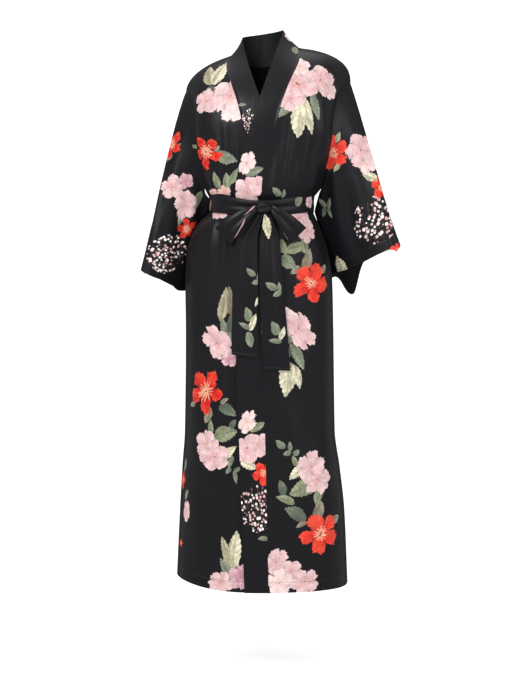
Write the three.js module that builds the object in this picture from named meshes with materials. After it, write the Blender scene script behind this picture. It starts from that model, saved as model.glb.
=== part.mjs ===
// A long kimono robe in printed satin with its tie belt, as it hangs on a general figure.
// Units are millimetres, +Z is up, the front faces -Y and +X is the wearer's left.
// The origin is the middle of the neck opening, at shoulder height.
import * as THREE from "three";

// Cloth and seams
const CLOTH = 1.6; // the wall of one layer
const DOUBLED = 2.2; // the wall of the doubled neckband and belt
const SEAM_GAP = 0.3; // between two pieces at a seam
const ROUNDING = 0.05; // added to half a gap where both walls start from the middle plane
const SLANT_GAP = 0.5; // the same where the pieces meet at a slant, at the armholes and the neck
const LAP = 5; // how far the over front stands outside the under front
const LAP_ENDS = { from: 0.5, to: 0.96, down: 0.6 }; // where the lap fades to the side and the shoulder
const SEAM_FADE = { from: 2, to: 16 }; // folds fade in between these distances from the band's seam
const SIDE_FADE = 0.1; // and over this share of the panel at its side

// Main heights
const UNDERARM_Z = -328;
const CHEST_Z = -190; // where the chest stands furthest forward
const ARM_CHEST_Z = -209; // where the armhole reaches furthest forward and back
const HEM_Z = -1283;

// Depths of the figure from its middle plane
const CHEST_FRONT = 122;
const CHEST_BACK = 110;
const ARMHOLE_DEPTH = 55; // half the armhole, front to back

// How the depth falls from the middle to the sides, and how roundly the shoulder turns down
const CHEST_FALL = 0.9;
const RING_FALL = 0.75;
const SHOULDER_ROUND = 1.25;

// Each shoulder: where its seam ends at the armhole, its highest level and how squarely it turns
const SHOULDERS = {
  left: { side: 1, tipX: 210, tipZ: -78, highZ: 10, squareness: 2.6, chestX: 164 },
  right: { side: -1, tipX: 182, tipZ: -97, highZ: -3, squareness: 1.85, chestX: 158 },
};

// Level rings of the body below the armholes
const RINGS = table(["z", "right", "left", "front", "back"], [
  [UNDERARM_Z, 137, 139, 122, 112],
  [-342, 131, 128, 118, 106],
  [-356, 122, 118, 108, 99],
  [-372, 121, 117, 106, 98],
  [-387, 127, 121, 108, 102],
  [-405, 147, 129, 111, 110],
  [-435, 167, 141, 114, 119],
  [-475, 180, 155, 117, 128],
  [-549, 185, 167, 120, 135],
  [-670, 184, 170, 122, 136],
  [-913, 187, 174, 127, 140],
  [-1000, 193, 186, 132, 144],
  [-1107, 199, 198, 137, 149],
  [HEM_Z, 207, 206, 143, 156],
]);

// The two front edges. The seam joins the band to its front, the edge is the band's free edge,
// and laid tells how far the band lies on the body, from standing free at 0 to flat at 1.
const BANDS = {
  left: table(["z", "seamX", "edgeX", "edgeY", "edgeZ", "laid"], [
    [6, 92, 52, -5, 53, 0],
    [-12, 90, 40, -42, 18, 0],
    [-31, 86, 26, -75, -22, 0],
    [-86, 62, 11, -99, -68, 0.2],
    [-133, 44, -14, -116, -142, 1],
    [-155, 37, -21, -118, -163, 1],
    [-238, 18, -44, -122, -241, 1],
    [-333, -2, -61, -120, -333, 1],
    [-757, 2, -61, -124, -757, 1],
    [-875, 5, -56, -126, -875, 1],
    [HEM_Z, 14, -42, -143, HEM_Z, 1],
  ]),
  right: table(["z", "seamX", "edgeX", "edgeY", "edgeZ", "laid"], [
    [-14, -77, -50, -5, 30, 0],
    [-28, -83, -43, -38, -2, 0],
    [-42, -85, -36, -68, -34, 0],
    [-83, -74, -22, -93, -76, 0.2],
    [-133, -58, -4, -108, -125, 1],
    [-170, -49, 8, -114, -160, 1],
    [-203, -37, 22, -118, -195, 1],
    [-333, 12, 73, -110, -333, 1],
    [-757, 35, 96, -120, -757, 1],
    [HEM_Z, 63, 124, -130, HEM_Z, 1],
  ]),
};
const BAND_COLUMNS = 3;
const NAPE = { depth: 62, rise: 6, drop: 0.4, dip: 0.6 }; // the band's edge and the low neckline behind

// Soft upright folds that stand out of each panel, from their top end to their low end
const FOLD_COLUMNS = ["topX", "topZ", "lowX", "lowZ", "height", "width", "peak"];
const FOLDS = {
  left: table(FOLD_COLUMNS, [
    [38, -200, 22, -350, 5, 8, 0.75],
    [60, -150, 42, -350, 7, 9, 0.8],
    [82, -175, 62, -350, 6, 9, 0.8],
    [106, -150, 84, -347, 7, 10, 0.8],
    [126, -200, 104, -345, 6, 9, 0.8],
    [22, -384, 28, -520, 3, 9, 0.25],
    [48, -384, 58, -560, 3.5, 11, 0.25],
    [78, -384, 96, -530, 4, 11, 0.25],
    [-26, -520, -34, -1180, 4, 12, 0.35],
    [60, -700, 104, -1200, 3, 24, 0.5],
    [134, -760, 150, -1275, 5, 20, 0.7],
  ]),
  right: table(FOLD_COLUMNS, [
    [-88, -160, -78, -348, 6, 9, 0.8],
    [-108, -190, -97, -346, 6, 9, 0.8],
    [-128, -230, -114, -345, 5, 8, 0.8],
    [-84, -384, -96, -540, 5, 11, 0.25],
    [-112, -388, -128, -560, 5, 11, 0.25],
    [-90, -620, -98, -1270, 4, 20, 0.6],
    [-140, -700, -150, -1275, 5, 20, 0.7],
  ]),
  back: table(FOLD_COLUMNS, [
    [-104, -170, -74, -334, 6, 13, 0.75],
    [-56, -200, -38, -334, 5, 13, 0.75],
    [2, -220, 0, -334, 5, 13, 0.75],
    [58, -200, 40, -334, 5, 13, 0.75],
    [104, -170, 74, -334, 6, 13, 0.75],
    [-66, -400, -92, -700, 6, 16, 0.25],
    [-20, -400, -30, -640, 5, 15, 0.25],
    [28, -400, 40, -680, 5, 15, 0.25],
    [70, -400, 96, -720, 6, 16, 0.25],
    [-120, -640, -138, -1275, 7, 26, 0.8],
    [-40, -760, -50, -1275, 6, 26, 0.8],
    [46, -740, 56, -1275, 6, 26, 0.8],
    [122, -640, 142, -1275, 7, 26, 0.8],
  ]),
};

// Each cuff is a flattened loop. Its long way is turned towards the front. Its height is lifted at
// the outer end, at the front, at the back and at both ends. Behind, it drops in one soft corner,
// at an angle from the inner end. The inner side of the sleeve leans in over the waist by inward.
const CUFFS = {
  left: {
    x: 246, y: 0, z: -531, halfLong: 111, halfFront: 42, halfBack: 44,
    turn: 49, outerLift: 33, frontLift: 31, backLift: 50, endLift: 18, drop: 57, dropAt: 50,
    inward: 12,
  },
  right: {
    x: -229, y: 38, z: -564, halfLong: 104, halfFront: 27, halfBack: 42,
    turn: 58, outerLift: 25, frontLift: 5, backLift: 30, endLift: 9, drop: 14, dropAt: 45,
    inward: 26,
  },
};
const DROP_SPREAD = 28; // how far that corner spreads, in degrees
const INWARD = { angle: 150, spread: 35, from: 0.03, to: 0.78 }; // where the sleeve leans in
const UNDERARM_SPREAD = 12; // how far the sleeve leaves the body sideways before it hangs
const SPREAD_START = 0.015; // the share of the sleeve over which that spread sets in
const BODY_CLEARANCE = 17; // the sleeves hang at least this far outside the body's rings

// Folds of the sleeves, by the angle round the sleeve from its outer edge over the front
const SLEEVE_FOLDS = table(["angle", "spread", "height", "from", "to"], [
  [48, 15, 7, 0.12, 1.05],
  [96, 16, 8, 0.2, 1.05],
  [140, 14, 6, 0.05, 0.8],
  [222, 16, 7, 0.15, 1.05],
  [268, 16, 6, 0.3, 1.05],
  [314, 15, 7, 0.12, 0.9],
]);

// Grid rows: the armhole in even steps down to the underarm, then millimetres below it
const ARM_ROWS = 12;
const LOWER_ROWS = [
  10, 20, 31, 43, 57, 72, 94, 125, 165, 215, 275, 340, 410, 480, 550, 618, 684, 750, 815, 880, 925,
];
const DOWNS = [
  ...Array.from({ length: ARM_ROWS + 1 }, (_, k) => (2 * k) / ARM_ROWS),
  ...LOWER_ROWS.map((mm) => 2 + mm),
  2 + UNDERARM_Z - HEM_Z,
];
const FRONT_COLUMNS = 20;
const BACK_SHOULDER_COLUMNS = 7;
const NAPE_COLUMNS = 4; // for each half of the back neck
const SLEEVE_STEPS = [0, 0.015, 0.045, 0.1, 0.18, 0.28, 0.4, 0.52, 0.64, 0.76, 0.88, 1];

// The belt
const BELT = {
  sideTop: -338, sideLow: -386, knotTop: -360, knotLow: -395,
  front: 10, side: 7.5, back: 2.4, crease: 1.6, columns: 22, rows: 4,
};
const KNOT = { x: 2, z: -378, halfWidth: 17, halfDepth: 10, halfHeight: 14, around: 16, up: 8 };
const KNOT_SEAT = 1; // the knot's clearance over the crease that it sits on
const KNOT_PROUD = BELT.front + DOUBLED + BELT.crease + KNOT_SEAT + KNOT.halfDepth;
const LOOP_COLUMNS = ["rootX", "rootTop", "rootLow", "endTopX", "endTopZ", "endLowX", "endLowZ"];
const LOOPS = {
  right: table(LOOP_COLUMNS, [[-16.2, -370, -387, -110, -422, -73, -461]])[0],
  left: table(LOOP_COLUMNS, [[20.2, -370, -387, 101, -422, 63, -459]])[0],
};
const LOOP_PUFF = 6.5; // half the opening of a loop
const LOOP_STEPS = 20;
const LOOP_END_DEPTH = 132; // how far in front of the middle plane the ends of the loops hang
const TAIL_COLUMNS = ["z", "x", "width", "off", "pleat"];
const TAILS = {
  right: { slant: 0.16, folds: 2, rows: table(TAIL_COLUMNS, [
    [-392.5, -7, 15, 24, 3],
    [-415, -20, 30, 20, 4],
    [-452, -37, 50, 15, 3],
    [-540, -40, 58, 12, 1.5],
    [-640, -41, 61, 11.5, 1],
    [-724, -41, 63, 11.5, 0.5],
  ]) },
  left: { slant: -0.42, folds: 2, rows: table(TAIL_COLUMNS, [
    [-392.5, 11, 15, 24, 3],
    [-415, 14, 28, 20, 4],
    [-452, 17, 46, 15, 3],
    [-546, 20, 55, 12, 1.5],
    [-650, 25, 60, 11.5, 1],
    [-745, 29, 64, 11.5, 0.5],
  ]) },
};
const TAIL_STEPS = 16;

// Finishes
const SATIN = { color: 0x232226, roughness: 0.42, metalness: 0 };
const BELT_SATIN = { color: 0x1f1e22, roughness: 0.4, metalness: 0 };

// Small maths
const { PI, abs, asin, cos, exp, max, min, sign, sin } = Math;
const mix = (a, b, t) => a + (b - a) * t;
const clamp = (x, low, high) => min(max(x, low), high);
const quarter = (t) => (t * PI) / 2;
const vec = (x, y, z) => new THREE.Vector3(x, y, z);

function ease(a, b, x) {
  const t = clamp((x - a) / (b - a), 0, 1);
  return t * t * (3 - 2 * t);
}

function table(columns, rows) {
  return rows.map((row) => Object.fromEntries(columns.map((name, i) => [name, row[i]])));
}

// The named column of a table at a height z, on a smooth curve that never overshoots its rows.
function at(rows, name, z) {
  const last = rows.length - 1;
  if (z >= rows[0].z) return rows[0][name];
  if (z <= rows[last].z) return rows[last][name];
  const i = rows.findIndex((row, k) => k < last && z > rows[k + 1].z);
  const rate = (k) => (rows[k + 1][name] - rows[k][name]) / (rows[k + 1].z - rows[k].z);
  const slope = (k) => {
    if (k === 0) return rate(0);
    if (k === last) return rate(last - 1);
    const [a, b] = [rate(k - 1), rate(k)];
    return a * b <= 0 ? 0 : (2 * a * b) / (a + b);
  };
  const span = rows[i + 1].z - rows[i].z;
  const t = (z - rows[i].z) / span;
  return (
    rows[i][name] * (1 + 2 * t) * (1 - t) ** 2 +
    slope(i) * span * t * (1 - t) ** 2 +
    rows[i + 1][name] * t * t * (3 - 2 * t) +
    slope(i + 1) * span * t * t * (t - 1)
  );
}

const shoulderOf = (across) => (across < 0 ? SHOULDERS.right : SHOULDERS.left);

// Half the width of the body at the armhole or side, at a place down the body
function halfWidth(across, down) {
  const shoulder = shoulderOf(across);
  const underarm = RINGS[0][across < 0 ? "right" : "left"];
  if (down <= 1) return mix(shoulder.tipX, shoulder.chestX, sin(quarter(down)));
  if (down <= 2) return mix(shoulder.chestX, underarm, sin(quarter(down - 1)));
  return at(RINGS, across < 0 ? "right" : "left", UNDERARM_Z - (down - 2));
}

// The height of the shoulder ridge, a superellipse that falls to the tip of the shoulder
function ridge(across) {
  const blend = ease(-0.4, 0.4, across);
  const high = mix(SHOULDERS.right.highZ, SHOULDERS.left.highZ, blend);
  const { tipZ, squareness } = shoulderOf(across);
  const reach = abs(sin(quarter(across)));
  return tipZ + (high - tipZ) * (1 - reach ** squareness) ** (1 / squareness);
}

// A point of the body's surface. across runs from -1 at the right side to 1 at the left side.
// down is 0 on the shoulder ridge, 1 at the chest, 2 at the underarm, then 2 plus millimetres.
function body(across, down, face) {
  const x = halfWidth(across, down) * sin(quarter(across));
  const turn = cos(quarter(min(abs(across), 1)));
  const facing = face === "back" ? 1 : -1;
  const chestDeep = face === "back" ? CHEST_BACK : CHEST_FRONT;
  const chest = mix(ARMHOLE_DEPTH, chestDeep, turn ** CHEST_FALL);
  const chestZ = mix(ARM_CHEST_Z, CHEST_Z, turn);
  const ringZ = down > 2 ? UNDERARM_Z - (down - 2) : UNDERARM_Z;
  const ring = at(RINGS, face, ringZ) * turn ** RING_FALL;
  if (down <= 1) {
    const rise = cos(quarter(down));
    const z = mix(chestZ, ridge(across), rise);
    return vec(x, facing * chest * sin(quarter(down)) ** SHOULDER_ROUND, z);
  }
  if (down <= 2) {
    const y = mix(ring, chest, cos(quarter(down - 1)));
    return vec(x, facing * y, mix(chestZ, UNDERARM_Z, sin(quarter(down - 1))));
  }
  return vec(x, facing * ring, ringZ);
}

// The way out of the body at a point, from small steps along both ways of the surface
function outward(across, down, face) {
  const step = 0.01;
  const across0 = max(across - step, -1);
  const across1 = min(across + step, 1);
  const drop = down >= 2 ? 1 : step;
  const a = body(across1, down, face).sub(body(across0, down, face));
  const b = body(across, down + drop, face).sub(body(across, max(down - drop, 0), face));
  const out = a.cross(b).normalize();
  return face === "back" ? out : out.negate();
}

// Where the body's surface is passed at a width x and a height z
function place(x, z, face) {
  const acrossAt = (down) => {
    const half = halfWidth(x, down);
    return asin(clamp(x / half, -1, 1)) / quarter(1);
  };
  if (z <= UNDERARM_Z) {
    const down = 2 + UNDERARM_Z - z;
    return { across: acrossAt(down), down };
  }
  let [low, high] = [0, 2];
  for (let i = 0; i < 40; i++) {
    const middle = (low + high) / 2;
    if (body(acrossAt(middle), middle, face).z > z) low = middle;
    else high = middle;
  }
  return { across: acrossAt(low), down: low };
}

// How far the folds of a panel stand out at a point
function foldHeight(name, x, z) {
  return FOLDS[name].reduce((sum, fold) => {
    const t = (z - fold.topZ) / (fold.lowZ - fold.topZ);
    if (t <= 0 || t >= 1) return sum;
    const falling = (t - fold.peak) / (1 - fold.peak);
    const shape = t < fold.peak ? sin(quarter(t / fold.peak)) : cos(quarter(falling));
    const sideways = (x - mix(fold.topX, fold.lowX, t)) / fold.width;
    return sum + fold.height * shape * exp(-sideways * sideways);
  }, 0);
}

// How far a front lies outside the body: the over front laps the under one and meets the back flush
function lap(name, across, down) {
  if (name !== "left") return 0;
  const { from, to, down: full } = LAP_ENDS;
  return LAP * (1 - ease(from, to, across)) * ease(0, full, down);
}

// A point of a panel: on the body, moved out by its lap and its folds
function panelPoint(name, across, down) {
  const face = name === "back" ? "back" : "front";
  const point = body(across, down, face);
  const seamAway = name === "back" ? SEAM_FADE.to : abs(point.x - at(BANDS[name], "seamX", point.z));
  const edge = ease(0, SIDE_FADE, 1 - abs(across)) * ease(SEAM_FADE.from, SEAM_FADE.to, seamAway);
  const out = lap(name, across, down) + foldHeight(name, point.x, point.z) * edge;
  return point.addScaledVector(outward(across, down, face), out);
}

// Where a band's seam crosses a row of its front
function seamAcross(name, down) {
  let [low, high] = [-1, 1];
  for (let i = 0; i < 40; i++) {
    const middle = (low + high) / 2;
    const point = body(middle, down, "front");
    if (point.x < at(BANDS[name], "seamX", point.z)) low = middle;
    else high = middle;
  }
  return low;
}

// The neck end of each shoulder seam, and how low the back neckline dips between them
const NECK = {
  left: seamAcross("left", 0),
  right: seamAcross("right", 0),
};
function napeDown(across) {
  const reach = across > 0 ? across / NECK.left : across / NECK.right;
  return NAPE.drop * max(1 - reach * reach, 0) ** NAPE.dip;
}

// The stations of a band from the hem up its front and round to the middle of the back neck.
// Each has its seam point, its free edge and the way out that it shares with the panel it joins.
function bandStations(name) {
  const stations = DOWNS.map((down) => {
    const across = seamAcross(name, down);
    const seam = panelPoint(name, across, down);
    const z = body(across, down, "front").z;
    const edge = vec(...["edgeX", "edgeY", "edgeZ"].map((column) => at(BANDS[name], column, z)));
    const laid = at(BANDS[name], "laid", z);
    return { across, down, seam, edge, laid, face: "front" };
  }).reverse();
  const neckEdge = BANDS[name][0];
  const otherEdge = BANDS[name === "left" ? "right" : "left"][0];
  for (let k = 1; k <= NAPE_COLUMNS; k++) {
    const across = mix(NECK[name], 0, k / NAPE_COLUMNS);
    const down = napeDown(across);
    const t = k / NAPE_COLUMNS / 2;
    const edge = vec(
      mix(neckEdge.edgeX, otherEdge.edgeX, (1 - cos(PI * t)) / 2),
      mix(neckEdge.edgeY, NAPE.depth, sin(PI * t)),
      mix(neckEdge.edgeZ, otherEdge.edgeZ, t) + NAPE.rise * sin(PI * t),
    );
    const seam = panelPoint("back", across, down);
    stations.push({ across, down, seam, edge, laid: 0, face: "back" });
  }
  stations.forEach((station, k) => {
    const before = stations[max(k - 1, 0)].seam;
    const after = stations[min(k + 1, stations.length - 1)].seam;
    const bodyOut = outward(station.across, station.down, station.face);
    const wide = station.edge.clone().sub(station.seam);
    const bandOut = after.clone().sub(before).cross(wide).normalize();
    if (bandOut.dot(bodyOut) < 0) bandOut.negate();
    station.out = bodyOut.lerp(bandOut, 0.5).normalize();
  });
  const neck = stations[DOWNS.length - 1];
  neck.out.setY(0).normalize();
  const middle = stations[stations.length - 1];
  middle.out.setX(0).normalize();
  return stations;
}
const STATIONS = { left: bandStations("left"), right: bandStations("right") };

// The way out that a panel and its sleeve share along the armhole
function armholeOut(side, face, k) {
  const angle = (PI * k) / ARM_ROWS;
  const facing = face === "back" ? 1 : -1;
  const flare = 0.35 + 0.65 * max(-cos(angle), 0) ** 2 + 0.25 * max(cos(angle), 0) ** 2;
  return vec(side * flare, facing * sin(angle), cos(angle)).normalize();
}

// Smooth ways out of a grid of points, turned to agree with a reference direction
function gridOuts(points, wraps, reference) {
  const rows = points.length;
  const columns = points[0].length;
  const column = (j) => (wraps ? (j + columns) % columns : clamp(j, 0, columns - 1));
  const outs = points.map((row, i) =>
    row.map((_, j) => {
      const down = points[min(i + 1, rows - 1)][j].clone().sub(points[max(i - 1, 0)][j]);
      const across = row[column(j + 1)].clone().sub(row[column(j - 1)]);
      return down.cross(across).normalize();
    }),
  );
  let agreement = 0;
  points.forEach((row, i) =>
    row.forEach((point, j) => {
      agreement += outs[i][j].dot(reference(point, i, j));
    }),
  );
  if (agreement < 0) outs.flat().forEach((out) => out.negate());
  return outs;
}

// A closed wall over a grid: each point gets a partner one wall further out, and the rims are closed.
function wallGeometry(points, outs, wall, wraps = false) {
  const rows = points.length;
  const columns = points[0].length;
  const outer = points.map((row, i) =>
    row.map((point, j) => point.clone().addScaledVector(outs[i][j], wall)),
  );
  const positions = [...points.flat(), ...outer.flat()].flatMap((point) => point.toArray());
  const inside = (i, j) => i * columns + (j % columns);
  const outside = (i, j) => rows * columns + inside(i, j);
  const index = [];
  const quad = (a, b, c, d) => index.push(a, b, c, a, c, d);
  const spans = wraps ? columns : columns - 1;
  for (let i = 0; i < rows - 1; i++) {
    for (let j = 0; j < spans; j++) {
      quad(inside(i, j), inside(i, j + 1), inside(i + 1, j + 1), inside(i + 1, j));
      quad(outside(i + 1, j), outside(i + 1, j + 1), outside(i, j + 1), outside(i, j));
    }
    if (!wraps) {
      quad(inside(i, 0), inside(i + 1, 0), outside(i + 1, 0), outside(i, 0));
      quad(outside(i, spans), outside(i + 1, spans), inside(i + 1, spans), inside(i, spans));
    }
  }
  for (let j = 0; j < spans; j++) {
    quad(outside(0, j), outside(0, j + 1), inside(0, j + 1), inside(0, j));
    quad(inside(rows - 1, j), inside(rows - 1, j + 1), outside(rows - 1, j + 1), outside(rows - 1, j));
  }
  return closedGeometry(positions, index);
}

// A geometry whose faces point outwards, whichever way its index runs
function closedGeometry(positions, index) {
  const geometry = new THREE.BufferGeometry();
  geometry.setAttribute("position", new THREE.Float32BufferAttribute(positions, 3));
  const corner = (k) => vec(...positions.slice(3 * k, 3 * k + 3));
  let volume = 0;
  for (let i = 0; i < index.length; i += 3) {
    volume += corner(index[i]).dot(corner(index[i + 1]).cross(corner(index[i + 2])));
  }
  geometry.setIndex(volume < 0 ? index.slice().reverse() : index);
  geometry.computeVertexNormals();
  return geometry;
}

function piece(name, geometry, finish) {
  const mesh = new THREE.Mesh(geometry, new THREE.MeshStandardMaterial(finish));
  mesh.name = name;
  return mesh;
}

const awayFromMiddle = (point) => vec(point.x, point.y, 0).normalize();

// The panel's edges: the shoulder and side seams keep half a gap from the middle plane, and
// their ways out lie in that plane, so that the next panel's wall meets them square.
function finishPanelEdges(points, outs, side, sideColumn, face) {
  const facing = face === "back" ? 1 : -1;
  const halfGap = SEAM_GAP / 2 + ROUNDING;
  points.forEach((row, i) => {
    if (i <= ARM_ROWS) outs[i][sideColumn].copy(armholeOut(side, face, i));
    else outs[i][sideColumn].setY(0).normalize();
    row.forEach((point) => {
      if (point.y * facing < halfGap) point.y = facing * halfGap;
    });
  });
}

function frontPanel(name) {
  const { side } = SHOULDERS[name];
  const stations = STATIONS[name];
  const points = DOWNS.map((down, i) => {
    const start = stations[DOWNS.length - 1 - i].across;
    return Array.from({ length: FRONT_COLUMNS + 1 }, (_, j) =>
      panelPoint(name, mix(start, side, j / FRONT_COLUMNS), down),
    );
  });
  const outs = gridOuts(points, false, awayFromMiddle);
  outs[0].forEach((out) => out.setY(0).normalize());
  DOWNS.forEach((_, i) => outs[i][0].copy(stations[DOWNS.length - 1 - i].out));
  finishPanelEdges(points, outs, side, FRONT_COLUMNS, "front");
  return piece("front_" + name, wallGeometry(points, outs, CLOTH), SATIN);
}

function backPanel() {
  const steps = (from, to, count) =>
    Array.from({ length: count }, (_, k) => mix(from, to, k / count));
  const acrosses = [
    ...steps(-1, NECK.right, BACK_SHOULDER_COLUMNS),
    ...steps(NECK.right, 0, NAPE_COLUMNS),
    ...steps(0, NECK.left, NAPE_COLUMNS),
    ...steps(NECK.left, 1, BACK_SHOULDER_COLUMNS),
    1,
  ];
  const points = DOWNS.map((down) =>
    acrosses.map((across) => {
      const top = napeDown(across);
      return panelPoint("back", across, down > 2 ? down : top + (down * (2 - top)) / 2);
    }),
  );
  const outs = gridOuts(points, false, awayFromMiddle);
  acrosses.forEach((across, j) => {
    const fromRight = j - BACK_SHOULDER_COLUMNS;
    const fromLeft = acrosses.length - 1 - BACK_SHOULDER_COLUMNS - j;
    if (fromRight < 0 || fromLeft < 0) outs[0][j].setY(0).normalize();
    else {
      const stations = fromRight < NAPE_COLUMNS ? STATIONS.right : STATIONS.left;
      outs[0][j].copy(stations[DOWNS.length - 1 + min(fromRight, fromLeft)].out);
    }
  });
  finishPanelEdges(points, outs, -1, 0, "back");
  finishPanelEdges(points, outs, 1, acrosses.length - 1, "back");
  return piece("back_panel", wallGeometry(points, outs, CLOTH), SATIN);
}

function neckband(name) {
  const stations = STATIONS[name];
  const points = stations.map(({ seam, edge, laid, face }, k) => {
    const start = SLANT_GAP / seam.distanceTo(edge);
    return Array.from({ length: BAND_COLUMNS + 1 }, (_, j) => {
      const t = mix(start, 1, j / BAND_COLUMNS);
      const free = seam.clone().lerp(edge, t);
      if (k === stations.length - 1) free.x += (SHOULDERS[name].side * SEAM_GAP) / 2;
      if (laid === 0 || face === "back") return free;
      const spot = place(free.x, free.z, "front");
      const flat = body(spot.across, spot.down, "front");
      const out = outward(spot.across, spot.down, "front");
      flat.addScaledVector(out, lap(name, spot.across, spot.down));
      return free.lerp(flat, laid);
    });
  });
  const outs = gridOuts(points, false, awayFromMiddle);
  stations.forEach((station, k) => outs[k][0].copy(station.out));
  outs[stations.length - 1].forEach((out) => out.setX(0).normalize());
  return piece("neckband_" + name, wallGeometry(points, outs, DOUBLED), SATIN);
}

// A point round a cuff, from its outer end over its front
function cuffPoint(name, angle) {
  const cuff = CUFFS[name];
  const { side } = SHOULDERS[name];
  const turn = (cuff.turn * PI) / 180;
  const long = cuff.halfLong * cos(angle);
  const wide = (sin(angle) > 0 ? cuff.halfFront : cuff.halfBack) * sin(angle);
  const behind = (angle * 180) / PI - 180;
  const corner = behind > 0 ? cuff.drop * exp(-(((behind - cuff.dropAt) / DROP_SPREAD) ** 2)) : 0;
  const lift = behind > 0 ? cuff.backLift * -sin(angle) - corner : cuff.frontLift * sin(angle);
  return vec(
    cuff.x + side * (long * cos(turn) - wide * sin(turn)),
    cuff.y - long * sin(turn) - wide * cos(turn),
    cuff.z + cuff.outerLift * cos(angle) + lift + cuff.endLift * cos(2 * angle),
  );
}

// Moves a point that comes too near the body straight out from the body's middle line
function clearOfBody(point) {
  if (point.z > UNDERARM_Z) return point;
  const wide = at(RINGS, point.x < 0 ? "right" : "left", point.z) + BODY_CLEARANCE;
  const deep = at(RINGS, point.y < 0 ? "front" : "back", point.z) + BODY_CLEARANCE;
  const reach = (scale) => (scale * point.x / wide) ** 2 + (scale * abs(point.y) / deep) ** (2 / RING_FALL);
  let scale = 1;
  while (reach(scale) < 1) scale += 0.002;
  return point.multiply(vec(scale, scale, 1));
}

function sleeve(name) {
  const { side } = SHOULDERS[name];
  const around = 2 * ARM_ROWS;
  const holePoint = (k) => {
    const face = k <= ARM_ROWS ? "front" : "back";
    const row = k <= ARM_ROWS ? k : around - k;
    const point = body(side, DOWNS[row], face);
    point.x += side * SLANT_GAP;
    return { point, out: armholeOut(side, face, row) };
  };
  const hole = Array.from({ length: around }, (_, k) => holePoint(k));
  const cuff = hole.map((_, k) => cuffPoint(name, (2 * PI * k) / around));
  const middleOf = (list) =>
    list.reduce((sum, point) => sum.add(point), vec(0, 0, 0)).divideScalar(list.length);
  const holeMiddle = middleOf(hole.map(({ point }) => point));
  const cuffMiddle = middleOf(cuff);
  const points = SLEEVE_STEPS.map((s) => {
    const middle = holeMiddle.clone().lerp(cuffMiddle, s);
    return hole.map(({ point }, k) => {
      const degrees = (360 * k) / around;
      const spot = point.clone().lerp(cuff[k], s);
      const under = max(-cos((2 * PI * k) / around), 0) ** 2;
      spot.x += side * UNDERARM_SPREAD * under * (1 - exp(-s / SPREAD_START)) * (1 - s) ** 2;
      const lean = sin(PI * clamp((s - INWARD.from) / (INWARD.to - INWARD.from), 0, 1));
      const near = exp(-(((degrees - INWARD.angle) / INWARD.spread) ** 2));
      spot.x -= side * CUFFS[name].inward * lean * near;
      const fold = SLEEVE_FOLDS.reduce((sum, { angle, spread, height, from, to }) => {
        const share = clamp((s - from) / (to - from), 0, 1);
        const turn = abs(((degrees - angle + 540) % 360) - 180) / spread;
        return sum + height * sin(PI * share) ** 0.7 * exp(-turn * turn);
      }, 0);
      const away = spot.clone().sub(middle).normalize();
      return s === 0 ? spot : clearOfBody(spot.addScaledVector(away, fold));
    });
  });
  const middles = SLEEVE_STEPS.map((s) => holeMiddle.clone().lerp(cuffMiddle, s));
  const outs = gridOuts(points, true, (point, i) => point.clone().sub(middles[i]).normalize());
  hole.forEach(({ out }, k) => outs[0][k].copy(out));
  return piece("sleeve_" + name, wallGeometry(points, outs, CLOTH, true), SATIN);
}

// The depth of the body's front at a width and a height
function frontDepth(x, z) {
  const spot = place(x, z, "front");
  return -body(spot.across, spot.down, "front").y;
}

function waistBand() {
  const count = BELT.columns;
  const turns = [
    ...Array.from({ length: count }, (_, k) => ({ across: mix(-1, 1, k / count), face: "front" })),
    ...Array.from({ length: count }, (_, k) => ({ across: mix(1, -1, k / count), face: "back" })),
  ];
  const points = Array.from({ length: BELT.rows + 1 }, (_, i) =>
    turns.map(({ across, face }) => {
      const toKnot = face === "front" ? 1 - ease(0.04, 0.75, abs(across)) : 0;
      const top = mix(BELT.sideTop, BELT.knotTop, toKnot);
      const low = mix(BELT.sideLow, BELT.knotLow, toKnot);
      const z = mix(top, low, i / BELT.rows);
      const down = 2 + UNDERARM_Z - z;
      const middle = face === "front" ? BELT.front : BELT.back;
      const off = mix(middle, BELT.side, ease(0.55, 1, abs(across))) + BELT.crease * (i % 2);
      const out = outward(across, down, face);
      if (abs(across) === 1) out.setY(0).normalize();
      return body(across, down, face).addScaledVector(out, off);
    }),
  );
  const outs = gridOuts(points, true, awayFromMiddle);
  return piece("belt_waist", wallGeometry(points, outs, DOUBLED, true), BELT_SATIN);
}

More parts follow.
